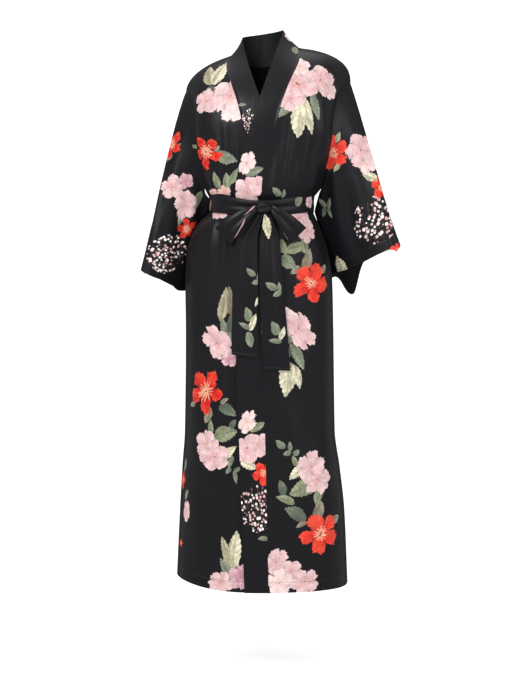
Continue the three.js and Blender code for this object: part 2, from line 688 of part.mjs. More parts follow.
// The knot is a rounded block with a shallow crease over its middle
function knot() {
  const y = -(frontDepth(KNOT.x, KNOT.z) + KNOT_PROUD);
  const soft = (value, power) => sign(value) * abs(value) ** power;
  const positions = [KNOT.x, y, KNOT.z + KNOT.halfHeight];
  const index = [];
  const ring = (i, j) => 1 + (i - 1) * KNOT.around + (j % KNOT.around);
  for (let i = 1; i < KNOT.up; i++) {
    const rise = (PI * i) / KNOT.up;
    const wide = soft(sin(rise), 0.65);
    for (let j = 0; j < KNOT.around; j++) {
      const turn = (2 * PI * j) / KNOT.around;
      const crease = 1 - 0.1 * exp(-((i - KNOT.up / 2) ** 2) / 1.5) * max(-sin(turn), 0);
      positions.push(
        KNOT.x + KNOT.halfWidth * wide * soft(cos(turn), 0.8),
        y + KNOT.halfDepth * wide * soft(sin(turn), 0.8) * crease,
        KNOT.z + KNOT.halfHeight * soft(cos(rise), 0.8),
      );
    }
  }
  positions.push(KNOT.x, y, KNOT.z - KNOT.halfHeight);
  const bottom = positions.length / 3 - 1;
  for (let j = 0; j < KNOT.around; j++) {
    index.push(0, ring(1, j), ring(1, j + 1));
    index.push(bottom, ring(KNOT.up - 1, j + 1), ring(KNOT.up - 1, j));
    for (let i = 1; i < KNOT.up - 1; i++) {
      index.push(ring(i, j), ring(i + 1, j), ring(i + 1, j + 1));
      index.push(ring(i, j), ring(i + 1, j + 1), ring(i, j + 1));
    }
  }
  return piece("belt_knot", closedGeometry(positions, index), BELT_SATIN);
}

// A loop of the bow: the strip runs out in front, turns at the end and comes back behind
function bowLoop(name) {
  const loop = LOOPS[name];
  const columns = 4;
  const rootDepth = frontDepth(KNOT.x, KNOT.z) + KNOT_PROUD;
  const points = Array.from({ length: LOOP_STEPS + 1 }, (_, i) => {
    const turn = (2 * PI * i) / LOOP_STEPS;
    const out = (1 - cos(turn)) / 2;
    const depth = LOOP_PUFF * sin(turn) + 3 * cos(turn / 2);
    return Array.from({ length: columns + 1 }, (_, j) => {
      const t = j / columns;
      const x = mix(loop.rootX, mix(loop.endTopX, loop.endLowX, t), out);
      const z = mix(mix(loop.rootTop, loop.rootLow, t), mix(loop.endTopZ, loop.endLowZ, t), out);
      const sag = 7 * sin(PI * out) * (1 - t);
      const crease = 3 * sin(PI * out) * (j % 2);
      return vec(x, -(mix(rootDepth, LOOP_END_DEPTH, out) + depth + crease), z + sag);
    });
  });
  const middle = vec(mix(loop.rootX, loop.endTopX, 0.5), 0, 0);
  const outs = gridOuts(points, false, (point, i) =>
    vec(0, i < LOOP_STEPS / 2 ? -1 : 1, 0).addScaledVector(point.clone().sub(middle), 0.0001),
  );
  return piece("belt_loop_" + name, wallGeometry(points, outs, DOUBLED), BELT_SATIN);
}

// A tail hangs from the knot in front of the skirt, gathered at the knot and flat below
function tail(name) {
  const { rows, slant, folds } = TAILS[name];
  const columns = 6;
  const [first, last] = [rows[0], rows[rows.length - 1]];
  const points = Array.from({ length: TAIL_STEPS + 1 }, (_, i) => {
    const share = (i / TAIL_STEPS) ** 1.35;
    const z = mix(first.z, last.z, share);
    return Array.from({ length: columns + 1 }, (_, j) => {
      const t = j / columns - 0.5;
      const width = at(rows, "width", z);
      const x = at(rows, "x", z) + t * width;
      const height = z + slant * t * width * share;
      const pleat = at(rows, "pleat", z) * cos(2 * PI * folds * t);
      return vec(x, -(frontDepth(x, height) + at(rows, "off", z) + pleat), height);
    });
  });
  const outs = gridOuts(points, false, () => vec(0, -1, 0));
  return piece("belt_tail_" + name, wallGeometry(points, outs, CLOTH), BELT_SATIN);
}

const robe = new THREE.Group();
robe.add(backPanel());
for (const name of ["left", "right"]) {
  robe.add(frontPanel(name), neckband(name), sleeve(name));
}
const belt = new THREE.Group();
belt.add(waistBand(), knot());
for (const name of ["left", "right"]) {
  belt.add(bowLoop(name), tail(name));
}
robe.add(belt);

export default robe;
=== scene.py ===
"""A long kimono robe in printed black satin with its tie belt in a bow, hollow, in its worn form.

Every piece of cloth is a closed thin wall over a fine grid that follows its solid's form, with softer
folds. Lengths in the tables are millimetres. +Z is up, the front faces -Y, and left and right are as
worn, with the left at +X. The print is drawn by formula: flowers, leaves and sprays of small blossom,
each at its own place.
"""

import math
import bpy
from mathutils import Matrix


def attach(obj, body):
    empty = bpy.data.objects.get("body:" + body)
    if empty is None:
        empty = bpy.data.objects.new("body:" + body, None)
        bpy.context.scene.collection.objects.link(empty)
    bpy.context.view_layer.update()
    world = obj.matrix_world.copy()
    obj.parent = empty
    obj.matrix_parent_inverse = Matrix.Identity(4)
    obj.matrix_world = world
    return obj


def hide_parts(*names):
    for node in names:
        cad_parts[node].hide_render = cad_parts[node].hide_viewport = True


bl_info = {
    "name": "Kimono robe",
    "version": (1, 0, 0),
    "blender": (4, 5, 0),
    "location": "View3D > Sidebar > Robe",
    "description": "Builds a printed satin kimono robe over its solid model",
    "category": "Add Mesh",
}

import bpy
import numpy as np

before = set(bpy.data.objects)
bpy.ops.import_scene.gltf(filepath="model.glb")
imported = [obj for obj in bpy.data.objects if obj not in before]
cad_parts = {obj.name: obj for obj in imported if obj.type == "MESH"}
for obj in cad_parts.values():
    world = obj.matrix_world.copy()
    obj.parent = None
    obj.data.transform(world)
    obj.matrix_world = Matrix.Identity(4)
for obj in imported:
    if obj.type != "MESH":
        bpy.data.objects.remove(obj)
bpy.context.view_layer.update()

# Sizes, all in millimetres
UNDERARM_Z = -328
CHEST_Z = -190
ARM_CHEST_Z = -209
HEM_Z = -1283
CHEST_FRONT = 122
CHEST_BACK = 110
ARMHOLE_DEPTH = 55
LAP = 5
SEAM_HALF = 0.05  # what each panel keeps to its own side of a seam
CLOTH_WALL = 1.6
DOUBLED_WALL = 2.2
HEM_DEPTH = 25
TAIL_HEM_DEPTH = 6


def table(columns, rows):
    """Named columns of a short table, as arrays."""
    values = np.array(rows, float)
    return {name: values[:, i] for i, name in enumerate(columns)}


# The armhole's tip, the height of the ridge, how square it is, and the half width at the chest
SHOULDERS = {
    "left": {"side": 1, "tip_x": 210, "tip_z": -78, "high_z": 10, "square": 2.6, "chest_x": 164},
    "right": {"side": -1, "tip_x": 182, "tip_z": -97, "high_z": -3, "square": 1.85, "chest_x": 158},
}

# How far the body reaches on its four sides, by height
RINGS = table(["z", "right", "left", "front", "back"], [
    [UNDERARM_Z, 137, 139, 122, 112],
    [-342, 131, 128, 118, 106],
    [-356, 122, 118, 108, 99],
    [-372, 121, 117, 106, 98],
    [-387, 127, 121, 108, 102],
    [-405, 147, 129, 111, 110],
    [-435, 167, 141, 114, 119],
    [-475, 180, 155, 117, 128],
    [-549, 185, 167, 120, 135],
    [-670, 184, 170, 122, 136],
    [-913, 187, 174, 127, 140],
    [-1000, 193, 186, 132, 144],
    [-1107, 199, 198, 137, 149],
    [HEM_Z, 207, 206, 143, 156],
])

# The neckband's seam and free edge, by height. laid is 0 where it stands free and 1 where it lies flat
BAND_COLUMNS = ["z", "seam_x", "edge_x", "edge_y", "edge_z", "laid"]
BANDS = {
    "left": table(BAND_COLUMNS, [
        [6, 92, 52, -5, 53, 0],
        [-12, 90, 40, -42, 18, 0],
        [-31, 86, 26, -75, -22, 0],
        [-86, 62, 11, -99, -68, 0.2],
        [-133, 44, -14, -116, -142, 1],
        [-155, 37, -21, -118, -163, 1],
        [-238, 18, -44, -122, -241, 1],
        [-333, -2, -61, -120, -333, 1],
        [-757, 2, -61, -124, -757, 1],
        [-875, 5, -56, -126, -875, 1],
        [HEM_Z, 14, -42, -143, HEM_Z, 1],
    ]),
    "right": table(BAND_COLUMNS, [
        [-14, -77, -50, -5, 30, 0],
        [-28, -83, -43, -38, -2, 0],
        [-42, -85, -36, -68, -34, 0],
        [-83, -74, -22, -93, -76, 0.2],
        [-133, -58, -4, -108, -125, 1],
        [-170, -49, 8, -114, -160, 1],
        [-203, -37, 22, -118, -195, 1],
        [-333, 12, 73, -110, -333, 1],
        [-757, 35, 96, -120, -757, 1],
        [HEM_Z, 63, 124, -130, HEM_Z, 1],
    ]),
}
NAPE = {"depth": 62, "rise": 6, "drop": 0.4}

# Folds of each panel: x and z of the start and of the end, height, width, and the share of the run at
# which the fold is highest
FOLDS = {
    "left": [
        [38, -230, 22, -350, 3.5, 8, 0.8],
        [66, -120, 40, -350, 5, 11, 0.85],
        [82, -215, 62, -350, 3.5, 9, 0.85],
        [116, -90, 84, -347, 6, 14, 0.75],
        [130, -220, 106, -345, 4.5, 10, 0.8],
        [22, -384, 28, -520, 3, 9, 0.25],
        [48, -384, 58, -560, 3.5, 11, 0.25],
        [78, -384, 96, -530, 4, 11, 0.25],
        [-26, -520, -34, -1180, 4, 12, 0.35],
        [60, -700, 104, -1200, 3, 24, 0.5],
        [134, -760, 150, -1275, 5, 20, 0.7],
        [132, -60, 150, -300, 4, 12, 0.5],
        [30, -640, 122, -1010, -4, 22, 0.5],
        [20, -1290, 40, -760, 3, 18, 0.3],
    ],
    "right": [
        [-88, -160, -78, -348, 6, 9, 0.8],
        [-108, -190, -97, -346, 6, 9, 0.8],
        [-128, -230, -114, -345, 5, 8, 0.8],
        [-84, -384, -96, -540, 5, 11, 0.25],
        [-112, -388, -128, -560, 5, 11, 0.25],
        [-90, -620, -98, -1270, 4, 20, 0.6],
        [-140, -700, -150, -1275, 5, 20, 0.7],
        [-62, -190, -54, -348, 4, 8, 0.8],
        [-60, -640, -66, -1100, -3, 16, 0.5],
    ],
    "back": [
        [-104, -170, -74, -334, 6, 13, 0.75],
        [-56, -200, -38, -334, 5, 13, 0.75],
        [2, -220, 0, -334, 5, 13, 0.75],
        [58, -200, 40, -334, 5, 13, 0.75],
        [104, -170, 74, -334, 6, 13, 0.75],
        [-66, -400, -92, -700, 6, 16, 0.25],
        [-20, -400, -30, -640, 5, 15, 0.25],
        [28, -400, 40, -680, 5, 15, 0.25],
        [70, -400, 96, -720, 6, 16, 0.25],
        [-120, -640, -138, -1275, 7, 26, 0.8],
        [-40, -760, -50, -1275, 6, 26, 0.8],
        [46, -740, 56, -1275, 6, 26, 0.8],
        [122, -640, 142, -1275, 7, 26, 0.8],
    ],
}

RIPPLE_SEEDS = {"left": 1.3, "right": 4.1, "back": 7.7}
# The hem rises towards the right side seam
HEM_RISE = {"from": -700, "height": 22}

# Each cuff: its middle, its half length, its half widths before and behind, and its turn in degrees,
# then how far its edge lifts at the outer end, the front, the back and both ends, how far its corner
# drops and at what angle, and how far the sleeve leans in and bows out
CUFFS = {
    "left": {
        "x": 246, "y": 0, "z": -531, "long": 111, "front": 42, "back": 44,
        "turn": 49, "outer_lift": 33, "front_lift": 31, "back_lift": 62, "end_lift": 18,
        "drop": 76, "drop_at": 50, "inward": 30, "bow": 3,
    },
    "right": {
        "x": -226, "y": 38, "z": -566, "long": 104, "front": 27, "back": 42,
        "turn": 58, "outer_lift": 25, "front_lift": 5, "back_lift": 30, "end_lift": 9,
        "drop": 14, "drop_at": 45, "inward": 46, "bow": 9,
    },
}
# How far the dropped corner spreads, in degrees, towards the inner end and towards the outer end
DROP_SPREAD = {"inner": 26, "outer": 11}
# Where round the sleeve it leans in, in degrees, and along which share of its length
INWARD = {"angle": 158, "spread": 44, "begin": 0.02, "end": 1.04}
BOW_SPREAD = 60
UNDERARM_SPREAD = 3
# How far the sleeves hang outside the body's rings, over the belt and elsewhere
OVER_BELT = 7.5
OVER_SKIRT = 5
# Folds of the sleeves: angle round the sleeve from its outer edge over the front, spread in degrees,
# height, and the shares of its length where they begin and stop
SLEEVE_FOLDS = [
    [48, 15, 7, 0.12, 1.05],
    [96, 16, 8, 0.2, 1.05],
    [140, 14, 6, 0.05, 0.8],
    [222, 16, 7, 0.15, 1.05],
    [268, 16, 6, 0.3, 1.05],
    [314, 15, 7, 0.12, 0.9],
]

# The belt's edges at the sides and at the knot, and how far it stands off the body
BELT = {"side_top": -338, "side_low": -386, "knot_top": -360, "knot_low": -395,
        "front": 10, "side": 4.5, "back": 2.4, "crease": 1.6}
BELT_LEVEL = -362
KNOT = {"x": 2, "z": -378, "wide": 20, "deep": 10, "high": 13}
KNOT_ROOM = 1
KNOT_PROUD = BELT["front"] + DOUBLED_WALL + BELT["crease"] + KNOT_ROOM + KNOT["deep"]
# Each loop: where it leaves the knot, and the upper and lower corner of its far end
LOOPS = {
    "right": {"side": -1, "root": -16.2, "top": (-110, -422), "low": (-73, -461)},
    "left": {"side": 1, "root": 20.2, "top": (101, -422), "low": (63, -459)},
}
LOOP_ROOT = (-370, -387)
LOOP_PUFF = 6.5
LOOP_END_DEPTH = 132
# The tails by height: middle, width, how far they hang before the body, and depth of the pleats
TAIL_COLUMNS = ["z", "x", "width", "off", "pleat"]
TAILS = {
    "right": {"slant": -0.12, "rows": table(TAIL_COLUMNS, [
        [-392.5, -7, 15, 24, 3],
        [-415, -20, 30, 20, 4],
        [-452, -37, 50, 15, 3],
        [-540, -40, 58, 12, 1.5],
        [-640, -41, 61, 11.5, 1],
        [-724, -41, 63, 11.5, 0.5],
    ])},
    "left": {"slant": -0.05, "rows": table(TAIL_COLUMNS, [
        [-392.5, 11, 15, 24, 3],
        [-415, 14, 28, 20, 4],
        [-452, 17, 46, 15, 3],
        [-546, 20, 55, 12, 1.5],
        [-650, 27, 60, 11.5, 1],
        [-757, 34, 62, 11.5, 0.5],
    ])},
}

# The camera, in metres, and its focal length in pixels of a 525 by 685 frame
CAMERA_AT = np.array([0.0, -4.0, -0.45])
LOOKS_AT = np.array([0.0, 0.0, -0.70])
FOCAL = 1653.0
MIDDLE = (263.0, 342.5)
FRAME_HEIGHT = 685
SENSOR_HEIGHT = 24
# The level view from behind: metres per pixel, and the pixel row of height 0
REAR_SCALE = 0.00242
REAR_TOP = 51

# The stage in metres: the floor bends up into an upright wall
FLOOR_Z = -1.49
FLOOR_REACH = 14.0
BEND = {"starts": 2.2, "radius": 1.6}
WALL = {"depth": 3.8, "height": 9.0}
LIGHTS_AIM = np.array([0.0, 0.0, -0.6])
# Name, place, size in metres and power in watts
LIGHTS = [
    ("key", (-1.5, -2.7, 1.5), 1.5, 80),
    ("fill", (2.2, -2.6, 0.9), 1.8, 38),
    ("top", (0.0, 0.5, 2.6), 2.4, 40),
]


# Small maths
def mix(a, b, t):
    """a where t is 0 and b where t is 1, in a straight line between."""
    return a + (b - a) * t


def quarter(t):
    """t quarter turns, in radians."""
    return np.asarray(t, float) * (math.pi / 2)


def ease(a, b, x):
    """0 at a and 1 at b, by the soft step 3 t^2 - 2 t^3 between."""
    t = np.clip((np.asarray(x, float) - a) / (b - a), 0, 1)
    return t * t * (3 - 2 * t)


def unit(vectors):
    """The same directions, each one long."""
    return vectors / np.maximum(np.linalg.norm(vectors, axis=-1, keepdims=True), 1e-9)


def at(rows, name, z):
    """A column at heights z, on a smooth curve through its rows that never overshoots them."""
    zs, values = rows["z"][::-1], rows[name][::-1]
    rates = np.diff(values) / np.diff(zs)
    before, after = rates[:-1], rates[1:]
    total = np.where(before + after == 0, 1, before + after)
    inner = np.where(before * after > 0, 2 * before * after / total, 0)
    slopes = np.concatenate([rates[:1], inner, rates[-1:]])
    z = np.clip(z, zs[0], zs[-1])
    i = np.clip(np.searchsorted(zs, z, side="right") - 1, 0, len(zs) - 2)
    span = zs[i + 1] - zs[i]
    t = (z - zs[i]) / span
    return (
        values[i] * (1 + 2 * t) * (1 - t) ** 2
        + slopes[i] * span * t * (1 - t) ** 2
        + values[i + 1] * t * t * (3 - 2 * t)
        + slopes[i + 1] * span * t * t * (t - 1)
    )


# The body's surface
def by_side(across, key):
    """A value of the right shoulder where across is below 0, else of the left one."""
    return np.where(across < 0, SHOULDERS["right"][key], SHOULDERS["left"][key])


def half_width(across, down):
    """Half the width of the body: from armhole tip to chest and from chest to underarm by the sine of
    down's share, then the level rings."""
    under = np.where(across < 0, RINGS["right"][0], RINGS["left"][0])
    chest = by_side(across, "chest_x")
    upper = mix(by_side(across, "tip_x"), chest, np.sin(quarter(np.clip(down, 0, 1))))
    middle = mix(chest, under, np.sin(quarter(np.clip(down - 1, 0, 1))))
    z = UNDERARM_Z - np.maximum(down - 2, 0)
    lower = np.where(across < 0, at(RINGS, "right", z), at(RINGS, "left", z))
    return np.where(down <= 1, upper, np.where(down <= 2, middle, lower))


def ridge(across):
    """The shoulder ridge: tip + (high - tip) (1 - reach^square)^(1/square), reach = |sin(90 across)|."""
    high = mix(SHOULDERS["right"]["high_z"], SHOULDERS["left"]["high_z"], ease(-0.4, 0.4, across))
    tip, square = by_side(across, "tip_z"), by_side(across, "square")
    reach = np.abs(np.sin(quarter(across)))
    return tip + (high - tip) * np.maximum(1 - reach ** square, 0) ** (1 / square)


def body(across, down, back):
    """Points of the body. across is -1 at the right side, 1 at the left; down is 0 on the shoulder
    ridge, 1 at the chest, 2 at the underarm, then 2 plus millimetres.

    x is the half width times the sine of across, and y follows a power of the cosine of across, from
    the depth at the sides to that in the middle. Between ridge, chest and underarm y and z follow
    quarter waves of down.
    """
    across, down = np.broadcast_arrays(np.asarray(across, float), np.asarray(down, float))
    x = half_width(across, down) * np.sin(quarter(across))
    turn = np.maximum(np.cos(quarter(np.minimum(np.abs(across), 1))), 0)
    chest = mix(ARMHOLE_DEPTH, CHEST_BACK if back else CHEST_FRONT, turn ** 0.9)
    chest_z = mix(ARM_CHEST_Z, CHEST_Z, turn)
    ring_z = UNDERARM_Z - np.maximum(down - 2, 0)
    ring = at(RINGS, "back" if back else "front", ring_z) * turn ** 0.75
    first, second = np.clip(down, 0, 1), np.clip(down - 1, 0, 1)
    upper_y = chest * np.sin(quarter(first)) ** 1.25
    upper_z = mix(chest_z, ridge(across), np.cos(quarter(first)))
    middle_y = mix(ring, chest, np.cos(quarter(second)))
    middle_z = mix(chest_z, UNDERARM_Z, np.sin(quarter(second)))
    y = np.where(down <= 1, upper_y, np.where(down <= 2, middle_y, ring))
    z = np.where(down <= 1, upper_z, np.where(down <= 2, middle_z, ring_z))
    return np.stack([x, y if back else -y, z], -1)


def outward(across, down, back):
    """The way out of the body, from small steps along both ways of the surface."""
    across, down = np.broadcast_arrays(np.asarray(across, float), np.asarray(down, float))
    step = 0.01
    drop = np.where(down >= 2, 1, step)
    a = body(np.minimum(across + step, 1), down, back) - body(np.maximum(across - step, -1), down, back)
    b = body(across, down + drop, back) - body(across, np.maximum(down - drop, 0), back)
    out = unit(np.cross(a, b))
    return out if back else -out


def place(x, z):
    """Where the body's front is passed at a width x and a height z, by halving the span of down."""
    x, z = np.broadcast_arrays(np.asarray(x, float), np.asarray(z, float))

    def across_at(down):
        return np.arcsin(np.clip(x / half_width(x, down), -1, 1)) / quarter(1)

    low, high = np.zeros(x.shape), np.full(x.shape, 2.0)
    for _ in range(32):
        middle = (low + high) / 2
        above = body(across_at(middle), middle, False)[..., 2] > z
        low, high = np.where(above, middle, low), np.where(above, high, middle)
    down = np.where(z <= UNDERARM_Z, 2 + UNDERARM_Z - z, low)
    return across_at(down), down


def front_depth(x, z):
    """How far the body's front stands before the middle plane at a width x and a height z."""
    across, down = place(x, z)
    return -body(across, down, False)[..., 1]


def fold_height(name, x, z):
    """The sum of the folds: height, rising as a sine to the peak and falling as a cosine, across a bell."""
    total = np.zeros(np.shape(x))
    for top_x, top_z, low_x, low_z, height, width, peak in FOLDS[name]:
        t = np.clip((z - top_z) / (low_z - top_z), 0, 1)
        shape = np.where(t < peak, np.sin(quarter(t / peak)), np.cos(quarter((t - peak) / (1 - peak))))
        total += height * shape * np.exp(-(((x - mix(top_x, low_x, t)) / width) ** 2))
    return total


def ripple(x, z, seed):
    """Slight unevenness of hanging cloth: a few long waves, bent by each other."""
    bend = 14 * np.sin(z / 173 + seed) + 9 * np.sin(z / 71 + 2.1 * seed)
    wide = np.sin((x + bend) / 23 + seed * 1.7)
    long = np.sin(z / 118 + x / 61 + seed * 0.9)
    fine = np.sin((x - bend * 0.6) / 11.5 + z / 210 + seed * 3.1)
    return 0.9 * wide * (0.6 + 0.4 * long) + 0.5 * long + 0.3 * fine


def lap(name, across, down):
    """How far the over front stands out over the under front, fading to none at the side and shoulder."""
    if name != "left":
        return np.zeros(np.broadcast(across, down).shape)
    return LAP * (1 - ease(0.5, 0.96, across)) * ease(0, 0.6, down)


def panel_points(name, across, down):
    """Points of a panel: on the body, moved out by its lap, its folds and its ripple. Folds and ripple
    fade out at the seams, the ripple also under the belt. Towards the hem z rises by a square."""
    back = name == "back"
    point = body(across, down, back)
    x, z = point[..., 0], point[..., 2]
    from_seam = 1 if back else ease(2, 16, np.abs(x - at(BANDS[name], "seam_x", z)))
    edge = ease(0, 0.1, 1 - np.abs(across)) * from_seam
    belt = ease(-325, -350, z) * ease(-415, -392, z)
    calm = ease(0, 1.2, np.asarray(down, float)) * (1 - belt)
    relief = fold_height(name, x, z) + calm * ripple(x, z, RIPPLE_SEEDS[name])
    out = lap(name, across, down) + edge * relief
    point = point + outward(across, down, back) * out[..., None]
    depth = np.clip((z - HEM_RISE["from"]) / (HEM_Z - HEM_RISE["from"]), 0, 1)
    point[..., 2] += HEM_RISE["height"] * depth ** 2 * ease(0.15, 1, -np.asarray(across, float))
    return point


def seam_across(name, down):
    """Where a band's seam crosses each row of its front, by halving."""
    down = np.asarray(down, float)
    low, high = np.full(down.shape, -1.0), np.full(down.shape, 1.0)
    for _ in range(36):
        middle = (low + high) / 2
        point = body(middle, down, False)
        before = point[..., 0] < at(BANDS[name], "seam_x", point[..., 2])
        low, high = np.where(before, middle, low), np.where(before, high, middle)
    return low


NECK = {name: float(seam_across(name, 0.0)) for name in ("left", "right")}
# Rows of every panel, from the shoulder to the underarm and on to the hem
ARM_STEPS = 56
SKIRT_STEPS = 160
SKIRT_DOWNS = 2 + np.linspace(0, UNDERARM_Z - HEM_Z, SKIRT_STEPS + 1)[1:]
DOWNS = np.concatenate([np.linspace(0, 2, ARM_STEPS + 1), SKIRT_DOWNS])


def nape_down(across):
    """How far the neck edge of the back lies below the ridge: drop (1 - reach^2)^0.6 over the nape."""
    reach = np.where(across > 0, across / NECK["left"], across / NECK["right"])
    return NAPE["drop"] * np.maximum(1 - reach ** 2, 0) ** 0.6


# Grids and walls
def grid_outs(points, wraps, reference):
    """Smooth ways out of a grid, turned to agree with a reference direction."""
    down = np.gradient(points, axis=0)
    if wraps:
        across = np.roll(points, -1, 1) - np.roll(points, 1, 1)
    else:
        across = np.gradient(points, axis=1)
    outs = unit(np.cross(down, across))
    return outs if np.sum(outs * reference) > 0 else -outs


def armhole_out(side, back, share):
    """The way out that a panel and its sleeve share along the armhole. share is 0 on top, 1 below."""
    angle = math.pi * np.asarray(share, float)
    up = np.cos(angle)
    flare = 0.35 + 0.65 * np.maximum(-up, 0) ** 2 + 0.25 * np.maximum(up, 0) ** 2
    out = np.stack([side * flare, (1 if back else -1) * np.sin(angle), up], -1)
    return unit(out)


def smooth(lines, times):
    """Running average along the first axis, with the ends kept."""
    lines = lines.copy()
    for _ in range(times):
        lines[1:-1] = (lines[:-2] + 2 * lines[1:-1] + lines[2:]) / 4
    return lines


def closed_wall(points, outs, thick, wraps):
    """A closed wall over a grid. Returns its corners, quads, and for each quad its cell and whether
    it is on the inside, and for each corner its place in the grid."""
    rows, columns = points.shape[:2]
    spans = columns if wraps else columns - 1
    corners = np.concatenate([points.reshape(-1, 3), (points + outs * thick).reshape(-1, 3)])
    number = np.arange(rows * columns).reshape(rows, columns)
    if wraps:
        number = np.concatenate([number, number[:, :1]], 1)
    far = number + rows * columns
    cells = np.arange((rows - 1) * spans).reshape(rows - 1, spans)

    def quads(a, b, c, d):
        return np.stack([a, b, c, d], -1).reshape(-1, 4)

    parts = [
        (quads(number[:-1, :-1], number[:-1, 1:], number[1:, 1:], number[1:, :-1]), cells, 1),
        (quads(far[1:, :-1], far[1:, 1:], far[:-1, 1:], far[:-1, :-1]), cells, 0),
        (quads(far[0, :-1], far[0, 1:], number[0, 1:], number[0, :-1]), cells[0], 0),
        (quads(number[-1, :-1], number[-1, 1:], far[-1, 1:], far[-1, :-1]), cells[-1], 0),
    ]
    if not wraps:
        parts += [
            (quads(number[:-1, 0], number[1:, 0], far[1:, 0], far[:-1, 0]), cells[:, 0], 0),
            (quads(far[:-1, -1], far[1:, -1], number[1:, -1], number[:-1, -1]), cells[:, -1], 0),
        ]
    faces = np.concatenate([part[0] for part in parts])
    cell = np.concatenate([part[1].ravel() for part in parts])
    inside = np.concatenate([np.full(len(part[0]), part[2]) for part in parts])
    a, b, c, d = (corners[faces[:, k]] for k in range(4))
    volume = np.sum(a * np.cross(b, c)) + np.sum(a * np.cross(c, d))
    if volume < 0:
        faces = faces[:, ::-1]
    grid = np.tile(np.arange(rows * columns), 2)
    return corners, faces, cell, inside, grid


# A distance outside of any motif, and how far out a motif still claims a face. A motif ends at 1
FAR = 9.0
MOTIF_REACH = 1.3
SHARP_DEGREES = 55


class Piece:
    """One piece of cloth: its grid in metres, the ways out of it, and the mesh of its wall."""

    def __init__(self, name, points, outs, thick, wraps=False, stitch=None):
        self.name = name
        self.points = points / 1000
        self.outs = outs
        self.thick = thick / 1000
        self.wraps = wraps
        self.stitch = stitch
        self.motifs = []

    def build(self, materials, layers):
        """The piece as an object, with its print and its lines of stitches as attributes."""
        corners, faces, cell, inside, grid = closed_wall(self.points, self.outs, self.thick, self.wraps)
        mesh = bpy.data.meshes.new(self.name)
        mesh.from_pydata(corners, [], faces.tolist())
        mesh.shade_smooth()
        mesh.set_sharp_from_angle(angle=math.radians(SHARP_DEGREES))
        for material in materials:
            mesh.materials.append(material)
        mesh.polygons.foreach_set("material_index", inside.astype(np.int32))
        self.paint(mesh, faces, cell, grid, layers)
        if self.stitch is not None:
            lines = mesh.attributes.new("stitch", "FLOAT_VECTOR", "POINT")
            values = np.zeros((len(grid), 3))
            values[:, :2] = self.stitch.reshape(-1, 2)[grid] / 1000
            lines.data.foreach_set("vector", values.ravel())
        mesh.update()
        piece = bpy.data.objects.new(self.name, mesh)
        bpy.context.scene.collection.objects.link(piece)
        return piece

    def paint(self, mesh, faces, cell, grid, layers):
        """Gives each face the nearest motif of each layer, and each of its corners the place in it."""
        flat = self.points.reshape(-1, 3)
        columns = self.points.shape[1]
        number = np.arange(len(flat)).reshape(self.points.shape[:2])
        if self.wraps:
            number = np.concatenate([number, number[:, :1]], 1)
        four = np.stack([number[:-1, :-1], number[:-1, 1:], number[1:, 1:], number[1:, :-1]], -1)
        four = four.reshape(-1, 4)
        centres = flat[four].mean(1)
        ways = unit(self.outs.reshape(-1, 3)[four].mean(1))
        corner_points = flat[grid[faces]]
        for kind, count in layers.items():
            sorted_motifs = arrange([m for m in self.motifs if m.kind == kind], count)
            for k in range(count):
                owner = np.full(len(centres), -1)
                best = np.full(len(centres), FAR)
                for motif_number, motif in enumerate(sorted_motifs[k]):
                    near = motif.nearness(centres, ways)
                    closer = near < np.minimum(best, MOTIF_REACH)
                    owner[closer] = motif_number
                    best[closer] = near[closer]
                spots = np.full((len(faces), 4, 3), FAR)
                tints = np.zeros((len(faces), 4, 4))
                for motif_number, motif in enumerate(sorted_motifs[k]):
                    mine = owner[cell] == motif_number
                    spots[mine] = motif.local(corner_points[mine])
                    tints[mine] = motif.tint
                layer = f"{kind}_{k + 1}"
                spot = mesh.attributes.new(layer + "_spot", "FLOAT_VECTOR", "CORNER")
                spot.data.foreach_set("vector", spots.ravel())
                tint = mesh.attributes.new(layer + "_tint", "FLOAT_COLOR", "CORNER")
                tint.data.foreach_set("color", tints.ravel())


# The print's motifs
def linear(red, green, blue):
    """Linear light of a colour given in 0 to 255."""
    values = np.array([red, green, blue]) / 255
    return np.where(values <= 0.04045, values / 12.92, ((values + 0.055) / 1.055) ** 2.4)


TINTS = {
    "pink": linear(217, 177, 178),
    "pale": linear(229, 201, 196),
    "mauve": linear(200, 148, 160),
    "peach": linear(220, 174, 162),
    "red": linear(206, 22, 22),
    "coral": linear(222, 46, 36),
    "sage": linear(120, 129, 108),
    "dark": linear(86, 97, 82),
    "green": linear(132, 139, 107),
    "cream": linear(218, 210, 180),
    "tan": linear(178, 166, 136),
    "taupe": linear(142, 126, 110),
    "white": linear(246, 236, 232),
}
# How far the petals of a colour narrow towards the middle
NARROW = {"red": 0.8, "coral": 0.55}
# Cosines of the turn past which cloth takes no motif, and past which it can't be a motif's middle
MOTIF_TURN = 0.15
MIDDLE_TURN = 0.05
# Added to the pixels between a motif and cloth that faces away
HIDDEN_MISS = 500
# Seeds of the motifs, spread by the golden section
SEED_STEP = 0.618
SEED_RANGE = 40


